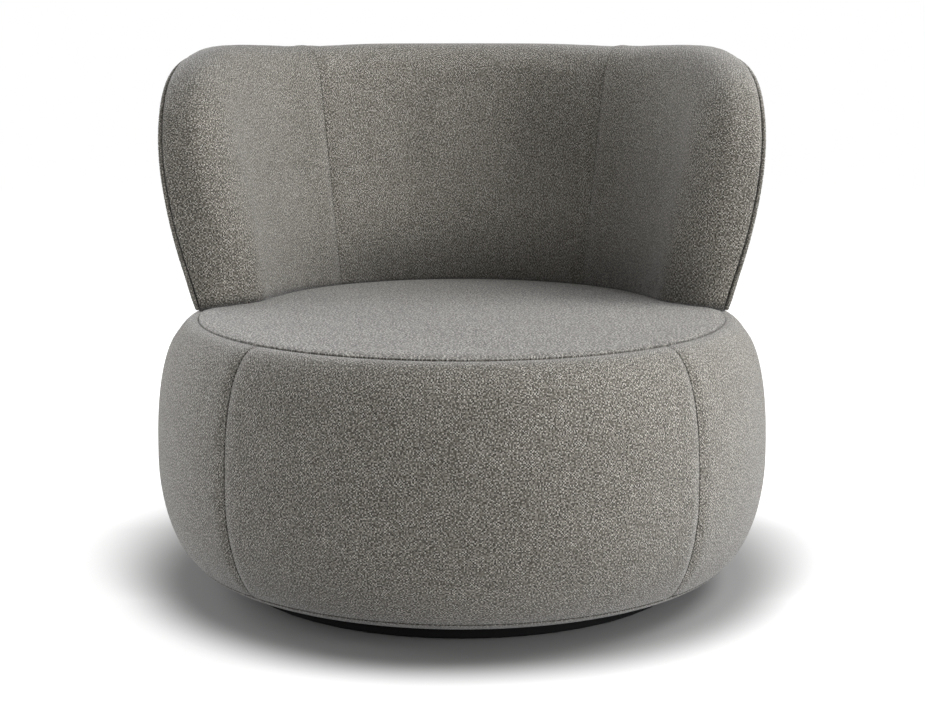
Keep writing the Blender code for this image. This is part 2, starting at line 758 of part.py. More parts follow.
def make_back_covers():
    for side, stations in panel_stations().items():
        inside = [section(at, inner_line, INNER_SHARES)[1:] for at in stations]
        cover(f"inside_cover_{side}", inside)
        outside = [section(at, outer_line, OUTER_SHARES)[1:] for at in stations]
        cover(f"outside_cover_{side}", outside, flip=True)


def make_back_foam(slot):
    """Moulded foam that wraps the shell, under the covers. The shell's slot is open at the bottom."""
    right = [at for at in right_stations() if at < EDGE_LENGTH - TIP_FOAM_GAP]
    stations = [-at for at in reversed(right)] + [-SEAM_AT] + centre_stations() + [SEAM_AT] + right
    lines = []
    for at in stations:
        outside = section(at, outer_line, OUTER_SHARES)
        inside = section(at, inner_line, INNER_SHARES)
        lines.append(list(reversed(outside)) + inside[1:])

    def skin(work):
        grid_faces(work, lines)

    rough = mesh_of("back_foam_skin", skin)
    normals = [vertex.normal.copy() for vertex in rough.vertices]
    sign = -1 if normals[0].dot(lines[0][0]) > 0 else 1
    count = len(lines[0])
    for i, line in enumerate(lines):
        for j, point in enumerate(line):
            moved = point + normals[i * count + j] * sign * BACK_FOAM_DEPTH
            lines[i][j] = settled(moved, CLEARANCE) if j in (0, count - 1) else moved
    bpy.data.meshes.remove(rough)

    def build(work):
        made = grid_faces(work, lines)
        for here, there in zip(made, made[1:]):
            work.faces.new((here[0], there[0], there[-1], here[-1]))
        for line in (made[0], made[-1]):
            work.faces.new(line)
        tidy(work)

    obj = add_object("back_foam", mesh_of("back_foam", build), "foam", SWIVEL_AXIS)
    shade(obj.data)
    boolean(obj, slot, "DIFFERENCE")


def make_back_welt():
    """The piping between the inside and outside covers, from one wing's foot over the top to the other."""
    ends = (0.0, TOP_LENGTH, TOP_LENGTH + CORNER_LENGTH, EDGE_LENGTH)
    right = [0.0]
    for low, high, parts in zip(ends, ends[1:], WELT_STATIONS):
        right += spaced(low, high, parts)
    points = []
    for at in [-at for at in reversed(right[1:])] + right:
        edge = edge_point(abs(at)) + edge_outward(abs(at)) * WELT_PROUD
        point = patch_to_space(edge, -WELT_PROUD)
        if abs(at) > EDGE_LENGTH - 0.0001:
            point = settled(point)
        points.append(Vector((math.copysign(point.x, at), point.y, point.z)))
    curve = bpy.data.curves.new("back_welt", "CURVE")
    curve.dimensions = "3D"
    curve.bevel_depth = WELT_RADIUS
    curve.bevel_resolution = 2
    curve.use_fill_caps = True
    spline = curve.splines.new("POLY")
    spline.points.add(len(points) - 1)
    for knot, point in zip(spline.points, points):
        knot.co = (*point, 1.0)
    add_object("back_welt", curve, "piping", SWIVEL_AXIS)


# Frame: a bent shell that carries the back, the front wall, deck and board

def shell_radius(z, extra=0.0):
    """The shell's inner face: upright inside the drum, then following the back's outer face."""
    if z < SEAM_Z:
        return WALL_RADIUS + extra
    share = (z - SEAM_Z) / (BACK_EDGE_Z - SEAM_Z)
    return outer_radius(z) - mix(BACK_FOOT_RADIUS - WALL_RADIUS, SHELL_TOP_DEPTH, share) + extra


def shell_top(degrees, grow=0.0):
    """Where the shell's upper edge is, a hand's breadth inside the back's own edge."""
    height = BACK_EDGE_Z - SHELL_EDGE_INSET
    run = SHELL_HALF_ANGLE - CORNER_START + SHELL_CORNER_RUN
    past = max(abs(degrees) - CORNER_START + SHELL_CORNER_LEAD, 0.0) / run
    left = (1 - past**CORNER_FULLNESS) ** (1 / CORNER_FULLNESS)
    return mix(CORNER_Z - SHELL_CORNER_DROP, height, left) + grow


def shell_lines(grow, bottom):
    lines = []
    half = SHELL_HALF_ANGLE + math.degrees(grow / WALL_RADIUS)
    columns = round(2 * SHELL_HALF_ANGLE / WALL_STEP)
    for i in range(columns + 1):
        azimuth = -half + 2 * half * i / columns
        top = shell_top(azimuth * SHELL_HALF_ANGLE / half, grow)
        heights = [bottom, SEAM_Z - CLEARANCE]
        heights += [mix(SEAM_Z, top, share) for share in SHELL_SHARES]
        lines.append([place(shell_radius(z, -grow), azimuth, z) for z in heights])
    return lines


def make_shell(name, kind, grow, bottom, parent, collection):
    def build(work):
        grid_faces(work, shell_lines(grow, bottom))

    obj = add_object(name, mesh_of(name, build), kind, parent, collection)
    shade(obj.data)
    solid = obj.modifiers.new("Plies", "SOLIDIFY")
    solid.thickness = WALL_THICKNESS + 2 * grow
    solid.offset = 1.0
    return obj


def make_front_wall():
    """The drum's curved front wall, between the two edges of the shell."""
    start = SHELL_HALF_ANGLE + WALL_END_GAP
    columns = math.ceil((360 - 2 * start) / WALL_STEP)
    heights = (BOARD_TOP + CLEARANCE, FRONT_WALL_TOP)
    lines = []
    for i in range(columns + 1):
        azimuth = start + (360 - 2 * start) * i / columns
        lines.append([place(WALL_RADIUS, azimuth, z) for z in heights])

    def build(work):
        grid_faces(work, lines)

    obj = add_object("front_wall", mesh_of("front_wall", build), "plywood", SWIVEL_AXIS)
    shade(obj.data)
    solid = obj.modifiers.new("Plies", "SOLIDIFY")
    solid.thickness = WALL_THICKNESS
    solid.offset = 1.0


def make_deck():
    ring(
        "deck_ring", DECK_RING_BORE, DECK_RING_RADIUS, DECK_RING_Z, DECK_RING_TOP, "plywood",
        SWIVEL_AXIS,
    )
    bottom, top = BOARD_TOP + CLEARANCE, DECK_RING_Z - CLEARANCE
    for i in range(STRUT_COUNT):
        azimuth = 360 / STRUT_COUNT * (i + 0.5)
        size = (STRUT_WIDTH, STRUT_DEPTH, top - bottom)
        centre = (0.0, STRUT_RADIUS, (bottom + top) / 2)
        box(f"seat_strut_{i + 1}", size, centre, "plywood", SWIVEL_AXIS, azimuth)


def make_webbing():
    """Three elastic straps across the deck, and three along it that lie on them."""
    for i in range(3):
        offset = STRAP_PITCH * (i - 1)
        length = 2 * math.sqrt(STRAP_REACH**2 - (abs(offset) + STRAP_WIDTH / 2) ** 2)
        across = (0.0, offset, CROSS_STRAP_Z + STRAP_THICKNESS / 2)
        along = (offset, 0.0, LONG_STRAP_Z + STRAP_THICKNESS / 2)
        size = (length, STRAP_WIDTH, STRAP_THICKNESS)
        box(f"cross_strap_{i + 1}", size, across, "webbing", SWIVEL_AXIS)
        size = (STRAP_WIDTH, length, STRAP_THICKNESS)
        box(f"long_strap_{i + 1}", size, along, "webbing", SWIVEL_AXIS)


def make_brackets():
    """Angle brackets that hold the shell on the bottom board."""
    foot = BOARD_TOP + CLEARANCE
    face = WALL_RADIUS - BRACKET_STANDOFF
    corners = [(face, foot), (face - BRACKET_LEG, foot), (face - BRACKET_LEG, foot + BRACKET_THICKNESS)]
    corners += [(face - BRACKET_THICKNESS, foot + BRACKET_THICKNESS)]
    corners += [(face - BRACKET_THICKNESS, foot + BRACKET_LEG), (face, foot + BRACKET_LEG)]
    for i, azimuth in enumerate(BRACKET_ANGLES):
        curve = bpy.data.curves.new(f"shell_bracket_{i + 1}", "CURVE")
        curve.dimensions = "2D"
        curve.fill_mode = "BOTH"
        curve.extrude = BRACKET_WIDTH / 2
        spline = curve.splines.new("POLY")
        spline.points.add(len(corners) - 1)
        for knot, (r, z) in zip(spline.points, corners):
            knot.co = (r, z, 0.0, 1.0)
        spline.use_cyclic_u = True
        obj = add_object(f"shell_bracket_{i + 1}", curve, "zinc_steel", SWIVEL_AXIS)
        obj.rotation_euler = (math.pi / 2, 0.0, math.radians(90 - azimuth))


# Plinth and swivel

def corner_points(reach, turn):
    """Four (x, y) corners of a square whose half side is reach."""
    corners = [Vector((x, y, 0)) for x, y in ((1, 1), (-1, 1), (-1, -1), (1, -1))]
    rotate = Matrix.Rotation(math.radians(turn), 3, "Z")
    return [tuple((rotate @ corner * reach)[:2]) for corner in corners]


def make_plate(name, bottom, race_bottom, grooved_up, turn, parent):
    """A square swivel plate with rounded corners, a central bore, four holes and a grooved race."""
    def build(work):
        bmesh.ops.create_cube(work, size=1.0)
        bmesh.ops.scale(work, vec=(PLATE_SIDE, PLATE_SIDE, PLATE_THICKNESS), verts=work.verts)
        upright = []
        for edge in work.edges:
            rise = abs(edge.verts[0].co.z - edge.verts[1].co.z)
            if rise > PLATE_THICKNESS / 2:
                upright.append(edge)
        bmesh.ops.bevel(work, geom=upright, offset=PLATE_CORNER, segments=4, affect="EDGES", profile=0.5)

    plate = add_object(name, mesh_of(name, build), "zinc_steel", parent)
    plate.location.z = bottom + PLATE_THICKNESS / 2
    plate.rotation_euler.z = math.radians(turn)
    half, lip = RACE_WIDTH / 2, RACE_LIP
    shape = [(-half, -RACE_SINK), (-half, RACE_HEIGHT), (-lip, RACE_HEIGHT)]
    shape += [(0.0, RACE_HEIGHT - RACE_GROOVE), (lip, RACE_HEIGHT)]
    shape += [(half, RACE_HEIGHT), (half, -RACE_SINK)]
    way = 1 if grooved_up else -1
    profile = [(RACE_RADIUS + r, race_bottom + way * z) for r, z in shape]
    if not grooved_up:
        profile.reverse()
    race = as_cutter(turned(f"{name}_race", profile, None, None, closed=True, collection=CUTTERS))
    boolean(plate, race, "UNION")
    low, high = bottom - CUT_MARGIN, bottom + PLATE_THICKNESS + CUT_MARGIN
    corners = corner_points(SCREW_CORNER, turn)
    holes = rods(f"{name}_holes", corners, SCREW_RADIUS + CLEARANCE, low, high)
    boolean(plate, holes, "DIFFERENCE")
    profile = [(0.0, high), (PLATE_BORE, high), (PLATE_BORE, low), (0.0, low)]
    bore = turned(f"{name}_bore", profile, None, None, collection=CUTTERS)
    boolean(plate, as_cutter(bore), "DIFFERENCE")


def make_screw(name, x, y, head_at, length, upward, parent):
    """A pan-head screw whose head rests on a plate at height head_at, its shank pointing up or down."""
    way = 1 if upward else -1
    seat, tip = head_at - way * CLEARANCE, head_at + way * length
    head = seat - way * SCREW_HEAD_HEIGHT
    profile = [(0.0, tip), (SCREW_RADIUS / 2, tip), (SCREW_RADIUS, tip - way * SCREW_POINT)]
    profile += [(SCREW_RADIUS, seat), (SCREW_HEAD_RADIUS, seat)]
    profile += [(SCREW_HEAD_RADIUS - SCREW_HEAD_HEIGHT / 2, head), (0.0, head)]
    if not upward:
        profile.reverse()
    obj = turned(name, profile, "zinc_steel", parent, steps=SMALL_STEPS)
    obj.location = (x, y, 0.0)


def make_plinth():
    plinth = disc(
        "plinth", PLINTH_RADIUS, PLINTH_BOTTOM, PLINTH_TOP, "black_board", PLINTH_AXIS,
        chamfer=PLINTH_CHAMFER,
    )
    corners = corner_points(SCREW_CORNER, 0.0)
    pilots = rods(
        "plinth_pilots", corners, SCREW_RADIUS + CLEARANCE,
        LOWER_RACE_BOTTOM - PLINTH_SCREW_LENGTH - PILOT_DEPTH, PLINTH_TOP + CUT_MARGIN,
    )
    boolean(plinth, pilots, "DIFFERENCE")
    for i in range(GLIDE_COUNT):
        glide = disc(
            f"glide_{i + 1}", GLIDE_RADIUS, 0.0, GLIDE_HEIGHT, "felt", PLINTH_AXIS, steps=GLIDE_STEPS,
        )
        glide.location = place(GLIDE_RING, 360 / GLIDE_COUNT * (i + 0.5), 0.0)
    make_plate("swivel_lower_plate", LOWER_PLATE_BOTTOM, LOWER_RACE_BOTTOM, True, 0.0, PLINTH_AXIS)
    for i, (x, y) in enumerate(corners):
        make_screw(
            f"plate_screw_{i + 1}", x, y, LOWER_RACE_BOTTOM, PLINTH_SCREW_LENGTH, False, PLINTH_AXIS,
        )


def make_ball_cage():
    """The thin ring that carries the balls between the two races, at half the seat's speed."""
    half = CAGE_WIDTH / 2
    low, high = BALL_Z - CAGE_THICKNESS / 2, BALL_Z + CAGE_THICKNESS / 2
    cage = ring("ball_cage", RACE_RADIUS - half, RACE_RADIUS + half, low, high, "zinc_steel", CAGE_AXIS)

    def build(work):
        for i in range(BALL_COUNT):
            where = place(RACE_RADIUS, 360 / BALL_COUNT * i, BALL_Z)
            bmesh.ops.create_uvsphere(
                work, u_segments=BALL_STEPS[0], v_segments=BALL_STEPS[1], radius=BALL_RADIUS,
                matrix=Matrix.Translation(where),
            )

    balls = add_object("balls", mesh_of("balls", build), None, None, CUTTERS)
    boolean(cage, as_cutter(balls), "UNION")


def make_board():
    board = disc("bottom_board", WALL_OUTSIDE, BOARD_BOTTOM, BOARD_TOP, "plywood", SWIVEL_AXIS)
    corners = corner_points(SCREW_CORNER, PLATE_TURN)
    holes = rods(
        "board_holes", corners, SCREW_RADIUS + CLEARANCE, BOARD_BOTTOM - CUT_MARGIN,
        BOARD_TOP + CUT_MARGIN,
    )
    boolean(board, holes, "DIFFERENCE")
    make_plate("swivel_upper_plate", UPPER_PLATE_BOTTOM, UPPER_PLATE_BOTTOM, False, PLATE_TURN, SWIVEL_AXIS)
    for i, (x, y) in enumerate(corners):
        make_screw(
            f"board_screw_{i + 1}", x, y, UPPER_PLATE_BOTTOM, BOARD_SCREW_LENGTH, True, SWIVEL_AXIS,
        )
    ring(
        "dust_cover", DUST_COVER_BORE, DUST_COVER_RADIUS, BOARD_BOTTOM - CLEARANCE - DUST_COVER_THICKNESS,
        BOARD_BOTTOM - CLEARANCE, "dust_cloth", SWIVEL_AXIS,
    )


make_plinth()
make_ball_cage()
make_board()
make_deck()
make_webbing()
make_front_wall()
make_brackets()
make_shell("back_shell", "plywood", 0.0, BOARD_TOP + CLEARANCE, SWIVEL_AXIS, CHAIR)
SHELL_SLOT = as_cutter(make_shell("shell_slot", None, CLEARANCE, SEAT_FOAM_BOTTOM, None, CUTTERS))
make_seat_foam()
make_band_foam()
make_seat_top_cover(SHELL_SLOT)
make_band_covers()
make_hem_band()
make_back_foam(SHELL_SLOT)
make_back_covers()
make_back_welt()
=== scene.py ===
"""The swivel lounge chair in its heathered cloth, on a pale studio floor.

Metres, +Z up, and the sitter faces -Y. Angles are in degrees from the middle of the back, towards the
sitter's left hand (+X)."""

import math

import bmesh
import bpy
import numpy as np
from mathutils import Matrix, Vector


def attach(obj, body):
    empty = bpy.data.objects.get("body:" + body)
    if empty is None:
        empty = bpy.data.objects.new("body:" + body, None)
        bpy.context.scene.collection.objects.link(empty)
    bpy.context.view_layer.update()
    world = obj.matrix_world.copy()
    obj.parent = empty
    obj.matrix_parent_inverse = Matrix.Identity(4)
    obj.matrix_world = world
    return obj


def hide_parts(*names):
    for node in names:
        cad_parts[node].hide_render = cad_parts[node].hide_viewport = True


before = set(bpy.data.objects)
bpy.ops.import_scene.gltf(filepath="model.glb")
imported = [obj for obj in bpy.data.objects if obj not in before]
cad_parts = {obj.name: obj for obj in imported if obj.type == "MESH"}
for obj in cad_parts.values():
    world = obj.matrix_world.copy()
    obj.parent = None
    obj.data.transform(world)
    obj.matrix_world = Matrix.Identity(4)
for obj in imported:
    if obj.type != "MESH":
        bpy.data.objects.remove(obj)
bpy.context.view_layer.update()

# Camera: the photograph's frame and viewing angle
PHOTO_WIDTH = 925
SENSOR = 36.0
FOCAL_PIXELS = 1824.9
CAMERA_DISTANCE = 2.5
CAMERA_HEIGHT = 0.7618
CAMERA_PITCH = 0.1806
CENTRE_SHIFT = 0.5

# Drum seat
DRUM_RADIUS = 0.420
SHOULDER_DRAW = 0.0664
SHOULDER_RADIUS = DRUM_RADIUS - SHOULDER_DRAW
UNDERSIDE_Z = 0.0298
WAIST_Z = UNDERSIDE_Z + 0.1492
SHOULDER_Z = UNDERSIDE_Z + 0.3387
UPPER_FULLNESS = 2.46
LOWER_FULLNESS = 1.92
RING_SEAM_ANGLE = 85.5
SEAT_CROWN = 0.013
CROWN_POWER = 2.5

# The dip where one sits, a little in front of the drum's axis
SIT_DIP = 0.0015
SIT_WIDTH = 0.16
SIT_DEPTH = 0.15
SIT_FORWARD = 0.02

# Hem
HEM_SEAM_ANGLE = -67.0
HEM_START_GAP = 0.2
HEM_LAST_ANGLE = -81.0
HEM_RADIUS = SHOULDER_RADIUS + 0.0034
HEM_Z = UNDERSIDE_Z + 0.0002
HEM_TURN_RADIUS = HEM_RADIUS - 0.0225
HEM_TURN_RISE = 0.003

# Back
BACK_FOOT_RADIUS = SHOULDER_RADIUS + 0.0124
BACK_TOP_RADIUS = BACK_FOOT_RADIUS + 0.0465
INNER_FOOT_RADIUS = BACK_FOOT_RADIUS - 0.0810
INNER_TOP_RADIUS = BACK_TOP_RADIUS - 0.0755
PATCH_RADIUS = BACK_TOP_RADIUS - 0.0125
BACK_EDGE_Z = SHOULDER_Z + 0.3490
BACK_FLARE_Z = BACK_EDGE_Z - 0.0975
INNER_TOP_Z = BACK_EDGE_Z - 0.0175
CORNER_START = 58.0
CORNER_END = 89.0
CORNER_Z = BACK_EDGE_Z - 0.1575
CORNER_FULLNESS = 2.45
WING_TIP = 86.9
TIP_LENGTH = 0.030
TIP_TAPER = 0.140
FOOT_CLEARANCE = 0.0012
OUTSIDE_FULLNESS = 0.003

# The roll of the inside cover over the back's edge: at the top, on the wings and at their tips
TOP_ROLL_RISE = 0.0150
TOP_ROLL_DEPTH = 0.045
TOP_CREST = 0.50
TOP_DIP = 0.0045
TOP_DIP_WIDTH = 0.080
WING_ROLL_RISE = 0.0110
WING_ROLL_DEPTH = 0.095
WING_CREST = 0.42
ROLL_FULLNESS = 2.0
TIP_RISE_SHARE = 0.25
TIP_CREST_SHARE = 0.28
TIP_FULLNESS = 1.6

# The small peak of the roll beside each seam
SEAM_PEAK = 0.0015
SEAM_PEAK_AT = 0.004
SEAM_PEAK_WIDTH = 0.008

# The inside back's panels
BACK_SEAM = 39.0
BACK_LOBE = 0.006
BACK_SEAM_DRAW = 0.0022
BACK_SEAM_WIDTH = 0.020

# Its soft upright folds: place along the patch, width, fullness, and level and reach as shares of height
FOLDS = (
    (-0.046, 0.032, 0.0030, 0.58, 0.26),
    (-0.105, 0.030, -0.0014, 0.56, 0.28),
    (0.106, 0.050, -0.0040, 0.58, 0.34),
    (0.020, 0.030, 0.0008, 0.40, 0.30),
    (0.236, 0.026, 0.0016, 0.55, 0.40),
)

# Paths on the back's patch, from its edge down to the seat
PATH_LEAD = 0.080
PATH_LEAD_SHARE = 0.45
ROLL_POINTS = 13
FACE_POINTS = 161
FACE_CROWDING = 1.5
OUTSIDE_POINTS = 121
EDGE_PROBE = 0.004
SHORT_LINE = 0.05

# Sewing
COVER_THICKNESS = 0.003
THIN_COVER = 0.002
HALF_GAP = 0.0002
WELD = 0.000002
SEAM_TUCK = 0.0040
SHORT_TUCK = 0.0030
SEAM_ROLL = 0.0015
BACK_SEAM_ROLL = 0.0008
WELT_ROLL = 0.0020
SEAM_DRAW = 0.0016
SEAM_DRAW_WIDTH = 0.010
SEAT_DRAW = 0.0008
RING_DRAW = 0.0024
HEM_DRAW_SHARE = 0.4
OUTSIDE_START = 0.0016
INSIDE_START = 0.0042

# Puckers: small uneven waves beside the seams
PUCKER = 0.0003
PUCKER_AT = 0.006
PUCKER_WIDTH = 0.007
WELT_PUCKER_AT = 0.007
BACK_PUCKER_WIDTH = 0.008
RIPPLE_WAVES = (0.0135, 0.0213, 0.0347)
RIPPLE_SHIFT = 1.7

# The back's foot on the seat
FOOT_ROLL = 0.0045
FOOT_ROLL_TAPER = 0.060
FOOT_ROLL_LEAST = 0.25
FOOT_GAP = 0.0003
FOOT_REACH = 0.050

# Painted shade in the seams and at the back's foot
CREASE_WIDTH = 0.0016
BACK_CREASE = 0.32
RING_CREASE = 0.75
FOOT_CREASE = 0.0105
FOOT_SHADE = 0.86
FOOT_SHADE_HEIGHT = 0.076
FOOT_SHADE_EDGE = 0.065
FOOT_SHADE_START_X = -0.33
FOOT_SHADE_RUN = 0.23

# Swelling
SWELL_STEP = 0.012
SWELL_LEAST = 6
SWELL_CAP = 0.0022
SWELL_INSET = 0.0014
SWELL_EDGE = 0.045
SWELL_SLACK = 0.012
SWELL_FRAMES = 16
PRESSURE = 4.0

# Piping
WELT_RADIUS = 0.003
WELT_PROUD = 0.0010
WELT_END_TUCK = 0.0050
WELT_END_LENGTH = 0.020
WELT_END_SHARE = 0.02
WELT_SIDES = 14
WELT_BUMP = 0.05
WELT_BUMP_PITCH = 2.3
WELT_TWIST = 1500.0

# Grids: distances between points, and the closer ones beside a seam
SEAT_STEP = 0.0060
SIDE_STEP = 0.0060
SIDE_ACROSS_STEP = 0.0065
HEM_STEP = 0.0035
EDGE_STEP = 0.0055
INSIDE_STEP = 0.0050
OUTSIDE_STEP = 0.0065
WELT_STEP = 0.0016
NEAR_SEAM = (0.0, 0.00012, 0.0004, 0.0008, 0.0012, 0.0020, 0.0034, 0.0054, 0.0084, 0.0124)

# Curves that the grids are read from
PROFILE_POINTS = 4000
SHOULDER_POINTS = 400
SHOULDER_END_ANGLE = 30.0
HEM_POINTS = 8
HEM_SMOOTHINGS = 3
EDGE_POINTS = 4001
EDGE_SKIP = 12

# Weave, with scales in cycles a metre
CLOTH_TONE = (0.228, 0.214, 0.184)
PIPING_SHADE = 0.9
PIPING_TURN = 45.0
YARN_PITCH = 0.0018
WAVER_SCALE = 30.0
WAVER = 1.4
SLUB_SCALE = 330.0
SLUB = 0.9
YARN_BODY = 0.6
YARN_LIFT = 0.4
YARN_STEP = 1.37
YARN_RUN = 40.0
FIBRE_SCALE = 1500.0
FIBRE_RELIEF = 0.4
CLOUD_SCALE = 11.0

# Heathering: how unlike a fleck is to its neighbours, what makes up its shade, and the shades themselves
NEIGHBOURS = 0.22
SEAT_LIKENESS = 0.12
FLECK_SHARE = 0.75
OVER_SHARE = 0.16
FIBRE_SHARE = 0.40
YARN_SHARE = 0.14
CLOUD_SHARE = 0.06
SHADE_START = 0.33
SHADES = ((0.05, 0.15), (0.30, 0.45), (0.50, 0.95), (0.72, 1.80), (0.95, 3.00))
WARMTH_POWER = 0.6
# Painted shade in the grooves between the yarns, and its share
GROOVE_TONE = (0.035, 0.032, 0.027)
GROOVE_SHARE = 0.50
# Painted shade in the seams and at the back's foot, and its share
PAINTED_SHADE_TONE = (0.012, 0.011, 0.010)
PAINTED_SHADE_SHARE = 0.70

# Hard finishes
MOTTLE_SCALE = 6.0
MOTTLE_SHARE = 0.6
GRAIN_SHARE = 0.4
ROUGHNESS_SPREAD = 0.16

# Studio
FLOOR_REACH = 6.0
FLOOR_TONE = 0.34
FLOOR_TAIL = 0.20
FLOOR_TAIL_END = 0.80
FLOOR_NEAR = 0.385
FLOOR_FAR = 0.50
FLOOR_FAR_BEHIND = 0.62
FLOOR_FRONT_Y = -0.15
FLOOR_BACK_Y = 0.20
WORLD_FILL = 0.02
AIM_HEIGHT = 0.35
LIGHT_DISTANCE = 2.6

# Each light: the side it shines from and its height in degrees, its size and its power
SOFT_BOXES = {
    "top": (0.0, 90.0, 2.2, 10.0),
    "right_low": (90.0, 12.0, 1.2, 23.0),
    "right_high": (90.0, 46.0, 1.2, 53.0),
    "right_front": (130.0, 6.0, 1.2, 32.0),
    "left_low": (270.0, 12.0, 1.2, 24.0),
    "left_front": (230.0, 6.0, 1.2, 7.0),
    "left_back": (305.0, 15.0, 1.2, 37.0),
    "front_low": (180.0, 8.0, 1.2, 11.0),
}


# Scene set-up

def add_camera():
    camera = bpy.data.cameras.new("camera")
    camera.sensor_width = SENSOR
    camera.lens = FOCAL_PIXELS * SENSOR / PHOTO_WIDTH
    camera.shift_x = CENTRE_SHIFT / PHOTO_WIDTH
    made = bpy.data.objects.new("camera", camera)
    bpy.context.scene.collection.objects.link(made)
    made.location = (0.0, -CAMERA_DISTANCE, CAMERA_HEIGHT)
    made.rotation_euler = (math.pi / 2 - CAMERA_PITCH, 0.0, 0.0)
    bpy.context.scene.camera = made


add_camera()
bpy.context.scene.view_settings.view_transform = "Standard"


# Shader maths

class Socket:
    """An output of a node. Sums and products on it add Math nodes."""

    def __init__(self, shader, socket):
        self.shader = shader
        self.socket = socket

    def math(self, operation, *others):
        return self.shader.add("Math", {"operation": operation}, dict(enumerate((self, *others))))

    def reflected(self, operation, other):
        return self.shader.add("Math", {"operation": operation}, {0: other, 1: self})

    def __add__(self, other):
        return self.math("ADD", other)

    def __sub__(self, other):
        return self.math("SUBTRACT", other)

    def __rsub__(self, other):
        return self.reflected("SUBTRACT", other)

    def __mul__(self, other):
        return self.math("MULTIPLY", other)

    def __truediv__(self, other):
        return self.math("DIVIDE", other)

    def __rtruediv__(self, other):
        return self.reflected("DIVIDE", other)

    __radd__ = __add__
    __rmul__ = __mul__


class Shader:
    """The nodes of a material or of the world, under construction."""

    def __init__(self, owner):
        owner.use_nodes = True
        self.owner = owner
        self.tree = owner.node_tree
        self.tree.nodes.clear()

    def add(self, kind, settings=None, sockets=None, out=0):
        """Adds a node, gives it its settings, then sets or links its sockets.

        Returns one of its outputs, or None where it has none."""
        node = self.tree.nodes.new("ShaderNode" + kind)
        for key, value in (settings or {}).items():
            if key == "stops":
                elements = node.color_ramp.elements
                while len(elements) < len(value):
                    elements.new(0.5)
                for element, (at, shade) in zip(elements, value):
                    element.position = at
                    element.color = (*shade, 1.0)
            else:
                setattr(node, key, value)
        for key, value in (sockets or {}).items():
            if isinstance(value, Socket):
                self.tree.links.new(value.socket, node.inputs[key])
            else:
                node.inputs[key].default_value = value
        return Socket(self, node.outputs[out]) if node.outputs else None

    def mix(self, share, first, second):
        """A colour between two colours."""
        return self.add("Mix", {"data_type": "RGBA"}, {0: share, 6: first, 7: second}, 2)

    def vector(self, x, y, z=0.0):
        return self.add("CombineXYZ", None, {0: x, 1: y, 2: z})

    def noise(self, where, scale, detail=2.0, dimensions="3D"):
        settings = {"noise_dimensions": dimensions}
        return self.add("TexNoise", settings, {"Vector": where, "Scale": scale, "Detail": detail})

    def speck(self, x, y):
        """A random value for each whole pair of numbers."""
        return self.add("TexWhiteNoise", {"noise_dimensions": "2D"}, {"Vector": self.vector(x, y)})

    def finish(self, **sockets):
        """Adds the Principled shader and the output. Returns the material."""
        named = {key.replace("_", " ").title(): value for key, value in sockets.items()}
        surface = self.add("BsdfPrincipled", None, {k.replace("Ior", "IOR"): v for k, v in named.items()})
        self.add("OutputMaterial", None, {"Surface": surface})
        return self.owner


def colour(red, green, blue):
    return (red, green, blue, 1.0)


# Materials

def yarn_shade(tone, strength):
    """The cloth's tone made darker or lighter, with its warmth kept even to the eye."""
    grey = sum(tone) / 3.0
    return [strength * grey + strength**WARMTH_POWER * (c - grey) for c in tone]


